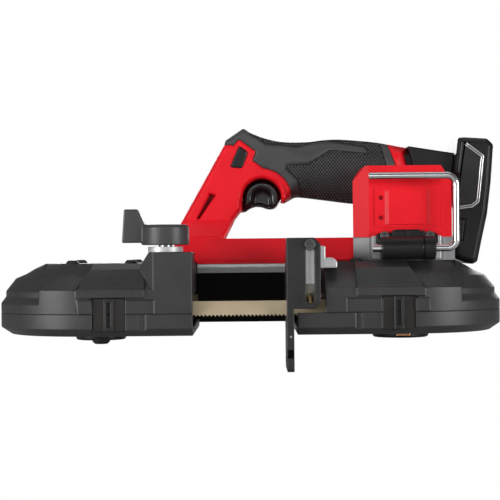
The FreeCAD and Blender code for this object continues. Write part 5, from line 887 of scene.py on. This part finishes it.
# Camera: level, in front of the middle plane, with the photo's slight roll

LENS, SENSOR, CLIP_METRES = 105.57, 36.0, (0.05, 30.0)
CAMERA_DISTANCE, CAMERA_HEIGHT, CAMERA_ROLL = 1000.0, 77.8, 0.0095

camera_data = bpy.data.cameras.new("camera")
camera = bpy.data.objects.new("camera", camera_data)
bpy.context.scene.collection.objects.link(camera)
camera_data.sensor_width = SENSOR
camera_data.lens = LENS
camera_data.clip_start, camera_data.clip_end = CLIP_METRES
camera_place = Matrix.Translation((0.0, (SHIFT - CAMERA_DISTANCE) * MM, CAMERA_HEIGHT * MM))
camera.matrix_world = camera_place @ Matrix.Rotation(CAMERA_ROLL, 4, "Y") @ Matrix.Rotation(math.pi / 2, 4, "X")
bpy.context.scene.camera = camera


# World and floor: white to the camera, dimmer in the light that they throw

WORLD_DIM = 0.15
FLOOR_METRES, FLOOR_DROP_METRES, FLOOR_TONE, FLOOR_ROUGH = 4, 0.0005, 0.62, 0.7

world = bpy.data.worlds.new("studio")
bpy.context.scene.world = world
world.use_nodes = True
tree = world.node_tree
path = tree.nodes.new("ShaderNodeLightPath")
seen = add_math(tree, "MAXIMUM")
tree.links.new(path.outputs["Is Camera Ray"], seen.inputs[0])
tree.links.new(path.outputs["Is Transmission Ray"], seen.inputs[1])
tone = add(tree, "ShaderNodeMapRange", To_Min=WORLD_DIM, To_Max=1.0)
tree.links.new(seen.outputs["Value"], tone.inputs["Value"])
background = tree.nodes["Background"]
background.inputs["Color"].default_value = (1, 1, 1, 1)
tree.links.new(tone.outputs["Result"], background.inputs["Strength"])

floor_mesh = bpy.data.meshes.new("floor")
floor_corners = [(FLOOR_METRES * x, FLOOR_METRES * y, 0) for x, y in ((-1, -1), (1, -1), (1, 1), (-1, 1))]
floor_mesh.from_pydata(floor_corners, [], [(0, 1, 2, 3)])
floor = bpy.data.objects.new("floor", floor_mesh)
floor.location.z = -FLOOR_DROP_METRES
bpy.context.scene.collection.objects.link(floor)
floor_look, tree, shader = new_material("floor_pale")
shader.inputs["Base Color"].default_value = (FLOOR_TONE, FLOOR_TONE, FLOOR_TONE, 1)
shader.inputs["Roughness"].default_value = FLOOR_ROUGH
glow = add(tree, "ShaderNodeEmission", Color=(1, 1, 1, 1), Strength=1.0)
choose = tree.nodes.new("ShaderNodeMixShader")
path = tree.nodes.new("ShaderNodeLightPath")
tree.links.new(path.outputs["Is Camera Ray"], choose.inputs["Fac"])
tree.links.new(shader.outputs["BSDF"], choose.inputs[1])
tree.links.new(glow.outputs["Emission"], choose.inputs[2])
tree.links.new(choose.outputs["Shader"], tree.nodes["Material Output"].inputs["Surface"])
floor_mesh.materials.append(floor_look)
floor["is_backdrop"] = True


# Lamps: name, place and target in metres, size in metres, power in watts

LAMPS = [
    ("key", (-1.2, -0.95, 0.16), (-0.02, 0, 0.07), (0.7, 0.6), 24.5),
    ("fill", (1.25, -0.9, 0.16), (0.02, 0, 0.07), (0.6, 0.6), 20.0),
    ("top", (0.0, 0.1, 1.25), (0, 0, 0.1), (1.3, 0.6), 2.6),
    ("front", (-0.1, -1.7, 0.5), (0, 0, 0.08), (1.0, 0.5), 3.8),
    ("back", (0.2, 1.5, 0.34), (0, 0, 0.08), (1.2, 0.5), 11.0),
]


def softbox(name, place, target, size, power):
    data = bpy.data.lights.new(name, "AREA")
    data.shape = "RECTANGLE"
    data.size, data.size_y = size
    data.energy = power
    lamp = bpy.data.objects.new(name, data)
    lamp.location = place
    lamp.rotation_euler = (Vector(target) - Vector(place)).to_track_quat("-Z", "Y").to_euler()
    bpy.context.scene.collection.objects.link(lamp)
    lamp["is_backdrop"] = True


for lamp in LAMPS:
    softbox(*lamp)
bpy.context.scene.view_settings.view_transform = "Standard"

low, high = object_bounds()
